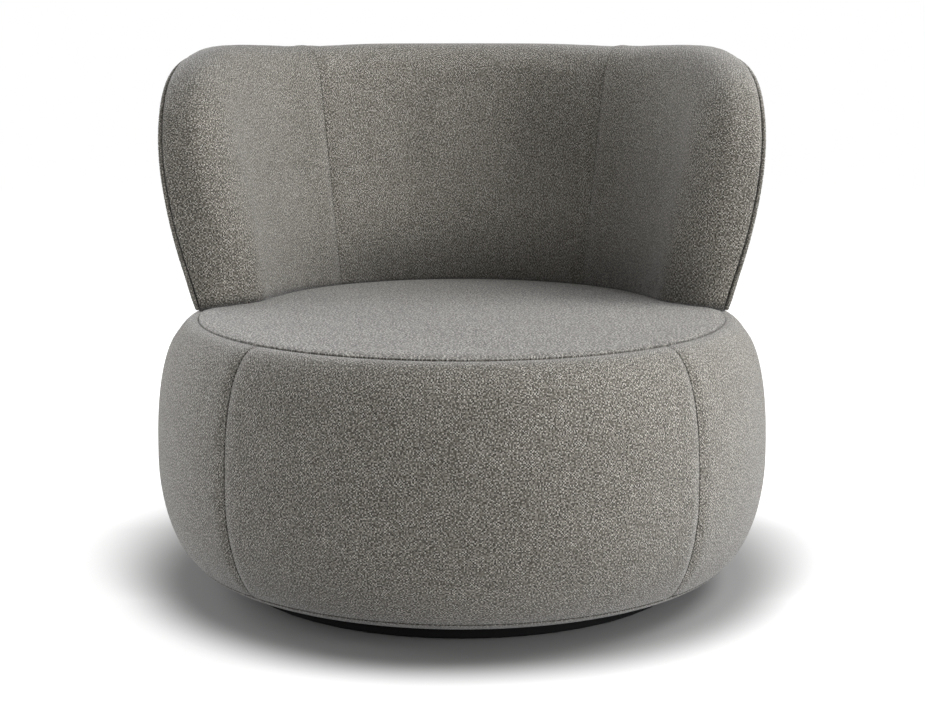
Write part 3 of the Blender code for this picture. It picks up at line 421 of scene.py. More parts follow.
def cloth_material(name, tone, turn=0.0, likeness=-NEIGHBOURS):
    """A plain weave of heathered yarns, drawn over the panel's own flat pattern in metres.

    With a likeness above 0 a fleck takes after the next ones along the cloth, and below 0 it is set off
    from them."""
    s = Shader(bpy.data.materials.new(name))
    flat = s.add("UVMap", {"uv_map": "pattern"})
    if turn:
        angle = math.radians(turn)
        flat = s.add("VectorRotate", {"rotation_type": "Z_AXIS"}, {"Vector": flat, "Angle": angle})
    across = s.add("SeparateXYZ", None, {0: flat}, 0)
    along = s.add("SeparateXYZ", None, {0: flat}, 1)
    waver = (s.noise(flat, WAVER_SCALE, 1.0, "2D") - 0.5) * WAVER
    # Thick and thin places in each yarn
    warp_slub = (s.noise(flat, SLUB_SCALE, 0.0, "2D") - 0.5) * SLUB
    weft_slub = (s.noise(s.vector(along, across), SLUB_SCALE, 0.0, "2D") - 0.5) * SLUB
    warp = across / YARN_PITCH + waver + warp_slub
    weft = along / YARN_PITCH - waver + weft_slub
    warp_cell, weft_cell = warp.math("FLOOR"), weft.math("FLOOR")
    warp_over = (warp_cell + weft_cell).math("FLOORED_MODULO", 2.0)
    warp_side = (warp - warp_cell - 0.5) * 2.0
    weft_side = (weft - weft_cell - 0.5) * 2.0
    # Each yarn is a round cord that dips under its neighbours
    warp_round = 1.0 - warp_side * warp_side
    weft_round = 1.0 - weft_side * weft_side
    over = warp_over * warp_round + (1.0 - warp_over) * weft_round
    height = warp_round * weft_round * YARN_BODY + over * YARN_LIFT
    # Heathering: each yarn that shows is a fleck of its own shade, and warp and weft differ
    beside = s.speck(warp_cell + 1.0, weft_cell) + s.speck(warp_cell - 1.0, weft_cell)
    above = s.speck(warp_cell, weft_cell + 1.0) + s.speck(warp_cell, weft_cell - 1.0)
    fleck = s.speck(warp_cell, weft_cell) - beside * NEIGHBOURS + above * likeness + (NEIGHBOURS - likeness)
    warp_tone = s.noise(s.vector(warp_cell * YARN_STEP, along * YARN_RUN), 1.0, 0.0, "2D")
    weft_tone = s.noise(s.vector(weft_cell * YARN_STEP, across * YARN_RUN), 1.0, 0.0, "2D")
    fibre = s.noise(flat, FIBRE_SCALE, 1.0, "2D")
    cloud = s.noise(flat, CLOUD_SCALE, 3.0, "2D")
    shade = fleck * FLECK_SHARE + warp_over * OVER_SHARE + fibre * FIBRE_SHARE
    shade = shade + (warp_tone + weft_tone) * YARN_SHARE + cloud * CLOUD_SHARE - SHADE_START
    stops = [(at, yarn_shade(tone, strength)) for at, strength in SHADES]
    tones = s.add("ValToRGB", {"stops": stops}, {"Fac": shade})
    painted_shade = s.add("Attribute", {"attribute_name": "crease"}, None, 2)
    # Painted shade in the grooves between the yarns
    groove_shaded = s.mix((1.0 - height) * GROOVE_SHARE, tones, colour(*GROOVE_TONE))
    # Painted shade in the seams and at the back's foot, from the crease attribute
    surface = s.mix(painted_shade * PAINTED_SHADE_SHARE, groove_shaded, colour(*PAINTED_SHADE_TONE))
    relief = {"Strength": 0.6, "Distance": 0.0006, "Height": height + fibre * FIBRE_RELIEF}
    bump = s.add("Bump", None, relief)
    return s.finish(
        base_color=surface, roughness=0.92, specular_ior_level=0.25, sheen_weight=0.45,
        sheen_roughness=0.45, sheen_tint=colour(0.96, 0.965, 1.0), normal=bump,
    )


def plain_material(name, base, roughness, metallic=0.0, shine=0.5, *, mottle, grain, bump):
    """A quiet finish: a base colour that clouds a little, with a fine grain."""
    s = Shader(bpy.data.materials.new(name))
    where = s.add("TexCoord", None, None, 3)
    cloud = s.noise(where, MOTTLE_SCALE, 4.0)
    fine = s.noise(where, grain, 3.0)
    dark = [c * (1.0 - mottle) for c in base]
    light = [min(c * (1.0 + mottle), 1.0) for c in base]
    surface = s.mix(cloud * MOTTLE_SHARE + fine * GRAIN_SHARE, colour(*dark), colour(*light))
    rough = roughness + (fine - 0.5) * ROUGHNESS_SPREAD
    relief = s.add("Bump", None, {"Strength": bump, "Distance": 0.0004, "Height": fine})
    return s.finish(
        base_color=surface, roughness=rough, metallic=metallic, specular_ior_level=shine, normal=relief,
    )


CLOTH = cloth_material("heathered_cloth", CLOTH_TONE)
SEAT_CLOTH = cloth_material("heathered_cloth_seat", CLOTH_TONE, likeness=SEAT_LIKENESS)
PIPING_CLOTH = cloth_material(
    "heathered_cloth_on_the_bias", [c * PIPING_SHADE for c in CLOTH_TONE], turn=PIPING_TURN,
)


# Fine surfaces, as grids of points

def unit(vectors):
    return vectors / np.maximum(np.linalg.norm(vectors, axis=-1, keepdims=True), 1e-12)


def place(radius, degrees, z):
    angle = np.radians(degrees)
    radius, angle, z = np.broadcast_arrays(radius, angle, z)
    return np.stack([radius * np.sin(angle), radius * np.cos(angle), z], -1)


def normals(points):
    return unit(np.cross(np.gradient(points, axis=0), np.gradient(points, axis=1)))


def bell(distance, width):
    return np.exp(-(distance / width) ** 2)


def smooth(share):
    share = np.clip(share, 0.0, 1.0)
    return share * share * (3.0 - 2.0 * share)


def mix(first, second, share):
    return first + (second - first) * np.clip(share, 0.0, 1.0)


def interpolated(wanted, known, values):
    """The columns of values, known at some places, read at the wanted ones."""
    return np.stack([np.interp(wanted, known, column) for column in values.T], -1)


def lengths_along(points):
    """Running length along the last but one axis of points."""
    steps = np.linalg.norm(np.diff(points, axis=-2), axis=-1)
    start = np.zeros(steps.shape[:-1] + (1,))
    return np.concatenate([start, np.cumsum(steps, axis=-1)], -1)


def spread(length, step, start=True, end=True):
    """Distances from 0 to length, closer together near a seam."""
    near = np.array(NEAR_SEAM)
    low = near if start else np.array([0.0])
    high = length - near[::-1] if end else np.array([length])
    parts = max(round((high[0] - low[-1]) / step), 1)
    middle = np.linspace(low[-1], high[0], parts + 1)[1:-1]
    return np.concatenate([low, middle, high])


def rolled(distance, roll=SEAM_ROLL):
    """How deep the cloth has turned in at this distance from a seam."""
    left = np.clip(1.0 - distance / roll, 0.0, 1.0)
    return roll * (1.0 - np.sqrt(1.0 - left * left))


def ripple(length, seed):
    """A small uneven wave along a seam, between -1 and 1."""
    found = np.zeros_like(length)
    for i, wave in enumerate(RIPPLE_WAVES):
        found += np.sin(length / wave * 2 * np.pi + seed * (i + RIPPLE_SHIFT))
    return found / len(RIPPLE_WAVES)


def puckers(along, from_seam, seed, at=PUCKER_AT, width=PUCKER_WIDTH):
    """How deep the cloth waves beside a seam."""
    return PUCKER * ripple(along, seed) * bell(from_seam - at, width)


def framed(points, outward, sides, tuck=SEAM_TUCK):
    """Adds a border that goes straight in, so that each seam closes behind the crease."""
    low_i, high_i, low_j, high_j = sides
    if low_i:
        points = np.concatenate([points[:1] - outward[:1] * tuck, points], 0)
        outward = np.concatenate([outward[:1], outward], 0)
    if high_i:
        points = np.concatenate([points, points[-1:] - outward[-1:] * tuck], 0)
        outward = np.concatenate([outward, outward[-1:]], 0)
    if low_j:
        points = np.concatenate([points[:, :1] - outward[:, :1] * tuck, points], 1)
        outward = np.concatenate([outward[:, :1], outward], 1)
    if high_j:
        points = np.concatenate([points, points[:, -1:] - outward[:, -1:] * tuck], 1)
    return points


def framed_pattern(pattern, sides):
    """Carries the flat pattern on over the border that framed() adds."""
    for axis, low, high in ((0, sides[0], sides[1]), (1, sides[2], sides[3])):
        pattern = np.moveaxis(pattern, axis, 0)
        if low:
            before = pattern[:1] + unit(pattern[:1] - pattern[3:4]) * SEAM_TUCK
            pattern = np.concatenate([before, pattern], 0)
        if high:
            after = pattern[-1:] + unit(pattern[-1:] - pattern[-4:-3]) * SEAM_TUCK
            pattern = np.concatenate([pattern, after], 0)
        pattern = np.moveaxis(pattern, 0, axis)
    return pattern


def framed_crease(share, sides):
    """How much painted shade the cloth has in a seam, from 0 to 1, for the grid that framed() makes."""
    low_i, high_i, low_j, high_j = (int(side) for side in sides)
    bounded = np.clip(share, 0.0, 1.0)
    return np.pad(bounded, ((low_i, high_i), (low_j, high_j)), constant_values=1.0)


def near_seam(distance):
    """The painted shade's ramp: 1 in a seam, down to 0 and less where the crease ends."""
    return 1.0 - distance / CREASE_WIDTH


def weld(mesh):
    """Joins points that lie on each other, such as a round panel's middle. Faces that this closes go."""
    whole = bmesh.new()
    whole.from_mesh(mesh)
    bmesh.ops.remove_doubles(whole, verts=whole.verts, dist=WELD)
    whole.to_mesh(mesh)
    whole.free()


def panel(name, points, pattern, material, crease=None, flip=False, wrap=False, thickness=COVER_THICKNESS):
    """A piece of cloth from a grid of points, with its flat pattern as UVs, thickened inwards."""
    rows, columns = points.shape[:2]
    index = np.arange(rows * columns).reshape(rows, columns)
    if wrap:
        index = np.concatenate([index, index[:1]], 0)
    a, b, c, d = index[:-1, :-1], index[:-1, 1:], index[1:, 1:], index[1:, :-1]
    corners = (a, d, c, b) if flip else (a, b, c, d)
    faces = np.stack([corner.ravel() for corner in corners], 1)
    mesh = bpy.data.meshes.new(name)
    mesh.from_pydata(points.reshape(-1, 3).tolist(), [], faces.tolist())
    layer = mesh.uv_layers.new(name="pattern")
    loops = np.empty(len(mesh.loops), np.int32)
    mesh.loops.foreach_get("vertex_index", loops)
    layer.data.foreach_set("uv", pattern.reshape(-1, 2)[loops].astype(np.float32).ravel())
    # The crease attribute holds each point's painted shade, which darkens the cloth's colour
    painted_shade = mesh.attributes.new("crease", "FLOAT", "POINT")
    painted_shade.data.foreach_set("value", np.zeros(rows * columns) if crease is None else crease.ravel())
    weld(mesh)
    mesh.shade_smooth()
    mesh.materials.append(material)
    made = bpy.data.objects.new(name, mesh)
    bpy.context.scene.collection.objects.link(made)
    if thickness:
        solid = made.modifiers.new("thickness", "SOLIDIFY")
        solid.thickness = thickness
        solid.offset = -1.0
        solid.use_rim = True
    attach(made, "seat")
    return made


# Fullness, from a cloth simulation of each cushion panel

def blown_up(start, rise):
    """How far each point of a coarse pad rises under pressure, with its border held."""
    rows, columns = start.shape[:2]
    index = np.arange(rows * columns).reshape(rows, columns)
    a, b, c, d = index[:-1, :-1], index[1:, :-1], index[1:, 1:], index[:-1, 1:]
    middle = (rows - 1) // 2, (columns - 1) // 2
    faces_out = np.dot(normals(start)[middle], rise[middle]) > 0
    corners = (a, b, c, d) if faces_out else (d, c, b, a)
    faces = np.stack([corner.ravel() for corner in corners], 1)
    mesh = bpy.data.meshes.new("pad")
    mesh.from_pydata(start.reshape(-1, 3).tolist(), [], faces.tolist())
    pad = bpy.data.objects.new("pad", mesh)
    scene = bpy.context.scene
    scene.collection.objects.link(pad)
    border = np.concatenate([index[0], index[-1], index[:, 0], index[:, -1]])
    pad.vertex_groups.new(name="seams").add([int(i) for i in border], 1.0, "REPLACE")
    cloth = pad.modifiers.new("cloth", "CLOTH")
    cloth.settings.vertex_group_mass = "seams"
    cloth.settings.quality = 6
    cloth.settings.mass = 0.3
    cloth.settings.bending_stiffness = 0.8
    cloth.settings.shrink_min = -SWELL_SLACK
    cloth.settings.use_pressure = True
    cloth.settings.uniform_pressure_force = PRESSURE
    cloth.settings.effector_weights.gravity = 0.0
    cloth.collision_settings.use_collision = False
    for step in range(1, SWELL_FRAMES + 1):
        scene.frame_set(step)
    shaped = pad.evaluated_get(bpy.context.evaluated_depsgraph_get()).data
    found = np.empty(start.size)
    shaped.vertices.foreach_get("co", found)
    risen = np.sum((found.reshape(start.shape) - start) * rise, -1)
    bpy.data.objects.remove(pad)
    scene.frame_set(1)
    return risen


def swelling(points, outward, across, down):
    """How far each point of a panel's grid rises when a coarse copy of it is blown up, softly capped.

    across and down are the running lengths along the grid's two directions."""
    lengths = float(across[-1]), float(down.max())
    rows, columns = (max(round(length / SWELL_STEP), SWELL_LEAST) for length in lengths)
    u, v = np.linspace(0.0, 1.0, rows + 1), np.linspace(0.0, 1.0, columns + 1)
    share, shares = across / across[-1], down / down[:, -1:]

    def coarsened(values):
        lines = np.stack([interpolated(v, shares[i], line) for i, line in enumerate(values)])
        return np.stack([interpolated(u, share, lines[:, j]) for j in range(columns + 1)], 1)

    risen = blown_up(coarsened(points), unit(coarsened(outward)))
    # The pad starts a little small, so that it swells out to size
    held_u, held_v = np.minimum(u, 1.0 - u) * across[-1], np.minimum(v, 1.0 - v) * down.max()
    inset = SWELL_INSET * smooth(np.minimum(held_u[:, None], held_v[None, :]) / SWELL_EDGE)
    risen = SWELL_CAP * np.tanh(np.maximum(risen, 0.0) / SWELL_CAP) - inset
    lines = interpolated(share, u, risen)
    return np.stack([np.interp(shares[i], v, line) for i, line in enumerate(lines)])


# Drum seat

def drum_profile(angle):
    """Points (radius, z) of the drum's side: 0 is its widest ring, 90 the top and -90 the underside."""
    turn = np.radians(angle)
    c, s = np.clip(np.cos(turn), 0.0, None), np.sin(turn)
    power = np.where(s >= 0, 2 / UPPER_FULLNESS, 2 / LOWER_FULLNESS)
    reach = np.where(s >= 0, SHOULDER_Z - WAIST_Z, WAIST_Z - UNDERSIDE_Z)
    z = WAIST_Z + np.sign(s) * reach * np.abs(s) ** power
    return np.stack([SHOULDER_RADIUS + SHOULDER_DRAW * c**power, z], -1)


SEAM_RADIUS, SEAM_Z = drum_profile(np.array(RING_SEAM_ANGLE))
TOP_RADIUS = SEAM_RADIUS - HALF_GAP


def crown_height(radius):
    share = np.clip(radius / SEAM_RADIUS, 0.0, 1.0)
    return SEAM_Z + SEAT_CROWN * (1.0 - share**CROWN_POWER)


def square_from_disc(p, q):
    """Where a point (p, q) of the round disc lay along p, in the square that was pressed into the disc."""
    root = 2.0 * math.sqrt(2.0)
    high = np.sqrt(np.clip(2.0 + p * p - q * q + root * p, 0.0, None))
    low = np.sqrt(np.clip(2.0 + p * p - q * q - root * p, 0.0, None))
    return (high - low) / 2.0


def seat_swelling(points):
    """The seat's rise, from a round pad of its own that is held at the ring seam."""
    steps = np.arange(-1.0, 1.0001, SWELL_STEP / SEAM_RADIUS)
    x, y = np.meshgrid(steps, steps, indexing="ij")
    # A square grid pressed into a disc, so that no face is small
    disc = np.stack([x * np.sqrt(1.0 - y * y / 2.0), y * np.sqrt(1.0 - x * x / 2.0)], -1) * TOP_RADIUS
    pad = np.concatenate([disc, crown_height(np.hypot(disc[..., 0], disc[..., 1]))[..., None]], -1)
    up = np.broadcast_to(np.array([0.0, 0.0, 1.0]), pad.shape)
    run = (steps + 1.0) * SEAM_RADIUS
    risen = swelling(pad, up, run, np.broadcast_to(run, (len(run), len(run))))
    # Back from the disc to the square, then to the seat's own grid
    p, q = points[..., 0] / TOP_RADIUS, points[..., 1] / TOP_RADIUS
    spacing = steps[1] - steps[0]
    i = np.clip((square_from_disc(p, q) + 1.0) / spacing, 0.0, len(steps) - 1.001)
    j = np.clip((square_from_disc(q, p) + 1.0) / spacing, 0.0, len(steps) - 1.001)
    i0, j0 = i.astype(int), j.astype(int)
    fi, fj = i - i0, j - j0
    low = risen[i0, j0] * (1 - fi) + risen[i0 + 1, j0] * fi
    high = risen[i0, j0 + 1] * (1 - fi) + risen[i0 + 1, j0 + 1] * fi
    return low * (1 - fj) + high * fj


def make_seat_panel():
    """The seat's round top, crowned, with its edge turned down into the ring seam."""
    inward = spread(TOP_RADIUS, SEAT_STEP, end=False)
    radius = TOP_RADIUS - inward
    degrees = np.arange(0.0, 360.0, 1.0)
    z = crown_height(radius)[None, :] - SEAT_DRAW * bell(inward, SEAM_DRAW_WIDTH)[None, :]
    z = z + puckers((np.radians(degrees) * SEAM_RADIUS)[:, None], inward[None, :], 2.0)
    # Where sitters sit the foam is a little softer
    flat = place(radius[None, :], degrees[:, None], 0.0)
    z = z - SIT_DIP * bell(flat[..., 0], SIT_WIDTH) * bell(flat[..., 1] + SIT_FORWARD, SIT_DEPTH)
    points = place(radius[None, :], degrees[:, None], z)
    points[..., 2] += seat_swelling(points)
    points[..., 2] -= rolled(inward)[None, :]
    tuck = points[:, :1] - np.array([0.0, 0.0, SEAM_TUCK])
    points = np.concatenate([tuck, points], 1)
    pattern = points[..., :2].copy()
    pattern[:, 0] *= 1.0 + SEAM_TUCK / SEAM_RADIUS
    nearest = np.broadcast_to(inward[None, :], (len(degrees), len(inward)))
    # Painted shade in the ring seam
    crease = framed_crease(near_seam(nearest), (False, False, True, False)) * RING_CREASE
    made = panel("seat_panel", points, pattern, SEAT_CLOTH, crease, wrap=True)
    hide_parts("seat_top_cover", "seat_foam")


def side_line():
    """The side panel's profile from the ring seam to the hem seam.

    Returns its points, their distances from both seams and the running length."""
    fine = drum_profile(np.linspace(RING_SEAM_ANGLE, HEM_SEAM_ANGLE, PROFILE_POINTS))
    lengths = lengths_along(fine[None])[0]
    total = lengths[-1]
    wanted = HALF_GAP + spread(total - 2 * HALF_GAP, SIDE_STEP)
    return interpolated(wanted, lengths, fine), wanted - HALF_GAP, total - HALF_GAP - wanted, wanted


def make_side_panels():
    """Four panels round the drum's bulge, drawn in at the upright seams."""
    line, from_ring, from_hem, run = side_line()
    quarter = math.pi / 2 * DRUM_RADIUS
    across = HALF_GAP + spread(quarter - 2 * HALF_GAP, SIDE_ACROSS_STEP)
    from_side = np.minimum(across, quarter - across) - HALF_GAP
    side_draw = SEAM_DRAW * bell(from_side, SEAM_DRAW_WIDTH)[:, None]
    ring_draw = RING_DRAW * bell(from_ring, SEAM_DRAW_WIDTH)[None, :]
    hem_draw = HEM_DRAW_SHARE * SEAM_DRAW * bell(from_hem, SEAM_DRAW_WIDTH)[None, :]
    nearest = np.minimum(from_side[:, None], np.minimum(from_ring, from_hem)[None, :])
    sides = (True, True, True, True)
    for side, centre in (("rear", 0.0), ("left", 90.0), ("front", 180.0), ("right", 270.0)):
        degrees = centre - 45.0 + across / quarter * 90.0
        points = place(line[None, :, 0], degrees[:, None], line[None, :, 1])
        outward = normals(points)
        deep = np.maximum(np.hypot(side_draw, ring_draw), hem_draw)
        deep = deep + puckers(run[None, :], from_side[:, None], centre)
        deep = deep + puckers(across[:, None], from_ring[None, :], centre + 1)
        down = np.broadcast_to(run - run[0], points.shape[:2])
        deep = deep - swelling(points, outward, across - across[0], down)
        points = framed(points - outward * (deep + rolled(nearest))[..., None], outward, sides)
        pattern = np.stack(np.broadcast_arrays(across[:, None], -run[None, :]), -1)
        flat = framed_pattern(pattern, sides)
        # Painted shade in the upright seams, the ring seam and the hem seam
        crease = framed_crease(near_seam(nearest), sides)
        made = panel(f"side_panel_{side}", points, flat, CLOTH, crease, flip=True)
        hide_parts(f"band_cover_{side}")
        if side == "front":
            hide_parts("band_foam")


def make_hem_strip():
    """The narrow strip below the hem seam, turned under the bottom board."""
    side = drum_profile(np.linspace(HEM_SEAM_ANGLE - HEM_START_GAP, HEM_LAST_ANGLE, HEM_POINTS))
    knots = np.array([*side, (HEM_RADIUS, HEM_Z), (HEM_TURN_RADIUS, HEM_Z + HEM_TURN_RISE)])
    lengths = lengths_along(knots[None])[0]
    share = spread(lengths[-1], HEM_STEP, end=False)
    line = interpolated(share, lengths, knots)
    for _ in range(HEM_SMOOTHINGS):
        line[2:-1] = (line[1:-2] + 2 * line[2:-1] + line[3:]) / 4
    degrees = np.arange(0.0, 361.0, 1.0)
    points = place(line[None, :, 0], degrees[:, None], line[None, :, 1])
    outward = normals(points)
    outward[0] = outward[-1] = unit(outward[0] + outward[-1])
    sides = (False, False, True, False)
    points = framed(points - outward * rolled(share)[None, :, None], outward, sides, SHORT_TUCK)
    pattern = np.stack(np.broadcast_arrays(np.radians(degrees)[:, None] * HEM_RADIUS, share[None, :]), -1)
    nearest = np.broadcast_to(share[None, :], (len(degrees), len(share)))
    # Painted shade in the hem seam
    crease = framed_crease(near_seam(nearest), sides)
    flat = framed_pattern(pattern, sides)
    made = panel("hem_strip", points, flat, CLOTH, crease, flip=True, thickness=THIN_COVER)
    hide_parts("hem_band")


# Back

BACK_FOOT_Z = float(crown_height(np.array(INNER_FOOT_RADIUS))) + FOOT_CLEARANCE


def on_patch(degrees):
    return np.radians(degrees) * PATCH_RADIUS


TOP_LENGTH = on_patch(CORNER_START)
CORNER_WIDTH = on_patch(CORNER_END - CORNER_START)
CORNER_HEIGHT = BACK_EDGE_Z - CORNER_Z
CORNER_LENGTH = math.pi / 2 * math.sqrt((CORNER_WIDTH**2 + CORNER_HEIGHT**2) / 2)
WING_LENGTH = CORNER_Z - BACK_FOOT_Z
EDGE_LENGTH = TOP_LENGTH + CORNER_LENGTH + WING_LENGTH
SEAM_AT = on_patch(BACK_SEAM)


def outer_radius(z):
    below = np.clip(BACK_FLARE_Z - z, 0.0, None) / (BACK_FLARE_Z - SEAM_Z)
    return BACK_TOP_RADIUS - (BACK_TOP_RADIUS - BACK_FOOT_RADIUS) * below * below


def inner_radius(z):
    share = (z - BACK_FOOT_Z) / (INNER_TOP_Z - BACK_FOOT_Z)
    return INNER_FOOT_RADIUS + (INNER_TOP_RADIUS - INNER_FOOT_RADIUS) * share


def edge_point(at):
    """The back's edge at this place along it, as (length along the patch, z)."""
    turn = np.clip((at - TOP_LENGTH) / CORNER_LENGTH, 0.0, 1.0) * math.pi / 2
    power = 2 / CORNER_FULLNESS
    share = np.clip((at - TOP_LENGTH - CORNER_LENGTH) / WING_LENGTH, 0.0, 1.0)
    corner_along = TOP_LENGTH + CORNER_WIDTH * np.sin(turn) ** power
    corner_z = CORNER_Z + CORNER_HEIGHT * np.clip(np.cos(turn), 0, 1) ** power
    along = np.where(at <= TOP_LENGTH, at, corner_along)
    z = np.where(at <= TOP_LENGTH, BACK_EDGE_Z, corner_z)
    along = along + (on_patch(WING_TIP) - on_patch(CORNER_END)) * share
    return np.stack([along, z + (BACK_FOOT_Z - CORNER_Z) * share], -1)


EDGE_AT = np.linspace(0.0, EDGE_LENGTH, EDGE_POINTS)
EDGE_LINE = edge_point(EDGE_AT)
EDGE_RUN = lengths_along(EDGE_LINE[None])[0]


def edge_outward(at):
    after, before = np.minimum(at + EDGE_PROBE, EDGE_LENGTH), np.maximum(at - EDGE_PROBE, 0.0)
    run = edge_point(after) - edge_point(before)
    return unit(np.stack([-run[..., 1], run[..., 0]], -1))


def foot_point(at):
    share = (at - TOP_LENGTH) / (EDGE_LENGTH - TOP_LENGTH)
    last = on_patch(WING_TIP) - TIP_LENGTH
    along = np.where(at <= TOP_LENGTH, at, mix(TOP_LENGTH, last, share))
    return np.stack([along, np.full_like(along, BACK_FOOT_Z)], -1)


def lobes(along, z, side):
    """The inner face's fullness: crowned panels, drawn in along their seams, with soft upright folds."""
    length = np.abs(along)
    middle = np.cos(np.clip(length / SEAM_AT, 0, 1) * math.pi / 2) ** 2
    wing = np.clip((length - SEAM_AT) / (on_patch(CORNER_END) - SEAM_AT), 0.0, 1.0)
    crown = np.where(length < SEAM_AT, middle, np.sin(wing * math.pi) ** 2)
    share = (z - BACK_FOOT_Z) / (BACK_EDGE_Z - BACK_FOOT_Z)
    height = np.sin(math.pi * np.clip(share, 0.0, 1.0))
    full = BACK_LOBE * crown * height - BACK_SEAM_DRAW * bell(length - SEAM_AT, BACK_SEAM_WIDTH)
    signed = length * side
    for centre, width, amount, level, tall in FOLDS:
        full = full + amount * bell(signed - centre, width) * bell(share - level, tall)
    return full


def curved_path(start, at, share):
    """A path on the patch that leaves the edge squarely and bends down to the seat."""
    edge, foot, outward = edge_point(at), foot_point(at), edge_outward(at)
    lead = np.minimum(PATH_LEAD, PATH_LEAD_SHARE * np.linalg.norm(edge - foot, axis=-1))
    middle = (edge - outward * lead[:, None])[:, None, :]
    t = share[None, :, None]
    return start[:, None, :] * (1 - t) ** 2 + middle * 2 * t * (1 - t) + foot[:, None, :] * t**2


def patch_to_space(point, depth):
    z = point[..., 1]
    return place(outer_radius(z) - depth, np.degrees(point[..., 0] / PATCH_RADIUS), z)


def thickness_at(point, side):
    z = point[..., 1]
    return outer_radius(z) - inner_radius(z) + lobes(point[..., 0], z, side)


def edge_distance(points):
    flat = points.reshape(-1, 2)
    nearest = np.full(len(flat), 1e9)
    for i in range(0, len(EDGE_LINE), EDGE_SKIP):
        nearest = np.minimum(nearest, np.sum((flat - EDGE_LINE[i]) ** 2, axis=1))
    return np.sqrt(nearest).reshape(points.shape[:-1])


def inner_lines(at, side):
    """Cross-sections from the edge over the roll and down to the seat.

    Returns their points in space, their flat pattern and their running lengths."""
    to_wing = np.clip((at - TOP_LENGTH) / CORNER_LENGTH, 0.0, 1.0)
    to_tip = np.clip((EDGE_LENGTH - at) / TIP_TAPER, 0.0, 1.0)
    dip = TOP_DIP * bell(at - SEAM_AT, TOP_DIP_WIDTH)
    rise = mix(TOP_ROLL_RISE, WING_ROLL_RISE, to_wing) * mix(TIP_RISE_SHARE, 1.0, to_tip) - dip
    rise = rise + SEAM_PEAK * bell(at - SEAM_AT - SEAM_PEAK_AT, SEAM_PEAK_WIDTH)
    depth = mix(TOP_ROLL_DEPTH, WING_ROLL_DEPTH, to_wing)
    crest = mix(TOP_CREST, WING_CREST, to_wing) * mix(TIP_CREST_SHARE, 1.0, to_tip)
    full = mix(TIP_FULLNESS, ROLL_FULLNESS, to_tip)
    edge, outward = edge_point(at), edge_outward(at)
    turn = np.linspace(0.0, math.pi / 2, ROLL_POINTS)
    over = edge[:, None, :] + outward[:, None, :] * (rise[:, None] * np.sin(turn)[None, :])[..., None]
    over_depth = crest[:, None] * thickness_at(over, side) * (1 - np.cos(turn))[None, :]
    start = edge + outward * rise[:, None]
    face = curved_path(start, at, np.linspace(0.0, 1.0, FACE_POINTS)[1:] ** FACE_CROWDING)
    beyond = np.sum((face - edge[:, None, :]) * outward[:, None, :], -1) > 0
    inside = rise[:, None] + edge_distance(face) * np.where(beyond, -1.0, 1.0)
    left = np.clip(1.0 - inside / depth[:, None], 0.0, 1.0)
    share = crest[:, None] + (1 - crest[:, None]) * (1 - left ** full[:, None]) ** (1 / full[:, None])
    patch = np.concatenate([over, face], 1)
    points = patch_to_space(patch, np.concatenate([over_depth, thickness_at(face, side) * share], 1))
    # The flat pattern follows the patch's directions at the cloth's own lengths
    run = lengths_along(points)
    way = unit(np.diff(patch, axis=1))
    way[:, : len(turn) - 1] = -outward[:, None, :]
    pattern = np.cumsum(way * np.diff(run, axis=1)[..., None], axis=1)
    pattern = np.concatenate([np.zeros_like(pattern[:, :1]), pattern], 1)
    pattern = pattern - pattern[:, -1:] + patch[:, -1:]
    return points, pattern, run


def outer_lines(at, side):
    """The same for the outside, which is alike on both sides."""
    patch = curved_path(edge_point(at), at, np.linspace(0.0, 1.0, OUTSIDE_POINTS))
    share = np.clip((patch[..., 1] - BACK_FOOT_Z) / (BACK_EDGE_Z - BACK_FOOT_Z), 0.0, 1.0)
    panels = np.clip(patch[..., 0] / SEAM_AT, 0, 2) / 2
    full = OUTSIDE_FULLNESS * np.sin(math.pi * share) * np.sin(math.pi * panels + math.pi / 2) ** 2
    points = patch_to_space(patch, -full)
    return points, patch, lengths_along(points)


def resampled(points, pattern, run, start, step):
    """The same lines at even spacing, closer at both ends, with the distances from their ends."""
    ends = len(NEAR_SEAM)
    total = run[:, -1] - start
    base = spread(float(total.max()), step)
    found, flat, near = [], [], []
    for i in range(len(points)):
        squeeze = min(1.0, total[i] / SHORT_LINE)
        wanted = base * (total[i] / base[-1])
        wanted[:ends] = base[:ends] * squeeze
        wanted[-ends:] = total[i] - (base[-1] - base[-ends:]) * squeeze
        middle = slice(ends - 1, len(base) - ends + 1)
        wanted[middle] = np.linspace(wanted[ends - 1], wanted[-ends], len(base) - 2 * ends + 2)
        found.append(interpolated(start + wanted, run[i], points[i]))
        flat.append(interpolated(start + wanted, run[i], pattern[i]))
        near.append(wanted)
    near = np.array(near)
    return np.array(found), np.array(flat), near, total[:, None] - near


def seat_surface(radius):
    """Height of the finished seat and its rounded edge."""
    fine = drum_profile(np.linspace(RING_SEAM_ANGLE, SHOULDER_END_ANGLE, SHOULDER_POINTS))
    side = np.interp(radius, fine[:, 0], fine[:, 1])
    top = crown_height(radius)
    draw = np.where(radius < SEAM_RADIUS, SEAT_DRAW, RING_DRAW)
    draw = draw * bell(SEAM_RADIUS - radius, SEAM_DRAW_WIDTH)
    return np.where(radius < SEAM_RADIUS, top, side) - draw


def standing(points):
    """Settles the back's foot on the seat, which falls away towards its edge."""
    radius = np.hypot(points[..., 0], points[..., 1])
    fade = np.clip(1.0 - (points[..., 2] - BACK_FOOT_Z) / FOOT_REACH, 0.0, 1.0) ** 2
    points = points.copy()
    points[..., 2] += (seat_surface(radius) + FOOT_GAP - BACK_FOOT_Z) * fade
    return points


def edge_stations(low, high, start, end):
    """Places along the edge between two lengths, even in true length, and their distances from both."""
    run = np.interp([low, high], EDGE_AT, EDGE_RUN)
    wanted = run[0] + spread(run[1] - run[0], EDGE_STEP, start, end)
    return np.interp(wanted, EDGE_RUN, EDGE_AT), wanted - run[0], run[1] - wanted


def mirrored(points, side):
    return points * np.array([side, 1.0, 1.0]) if side < 0 else points


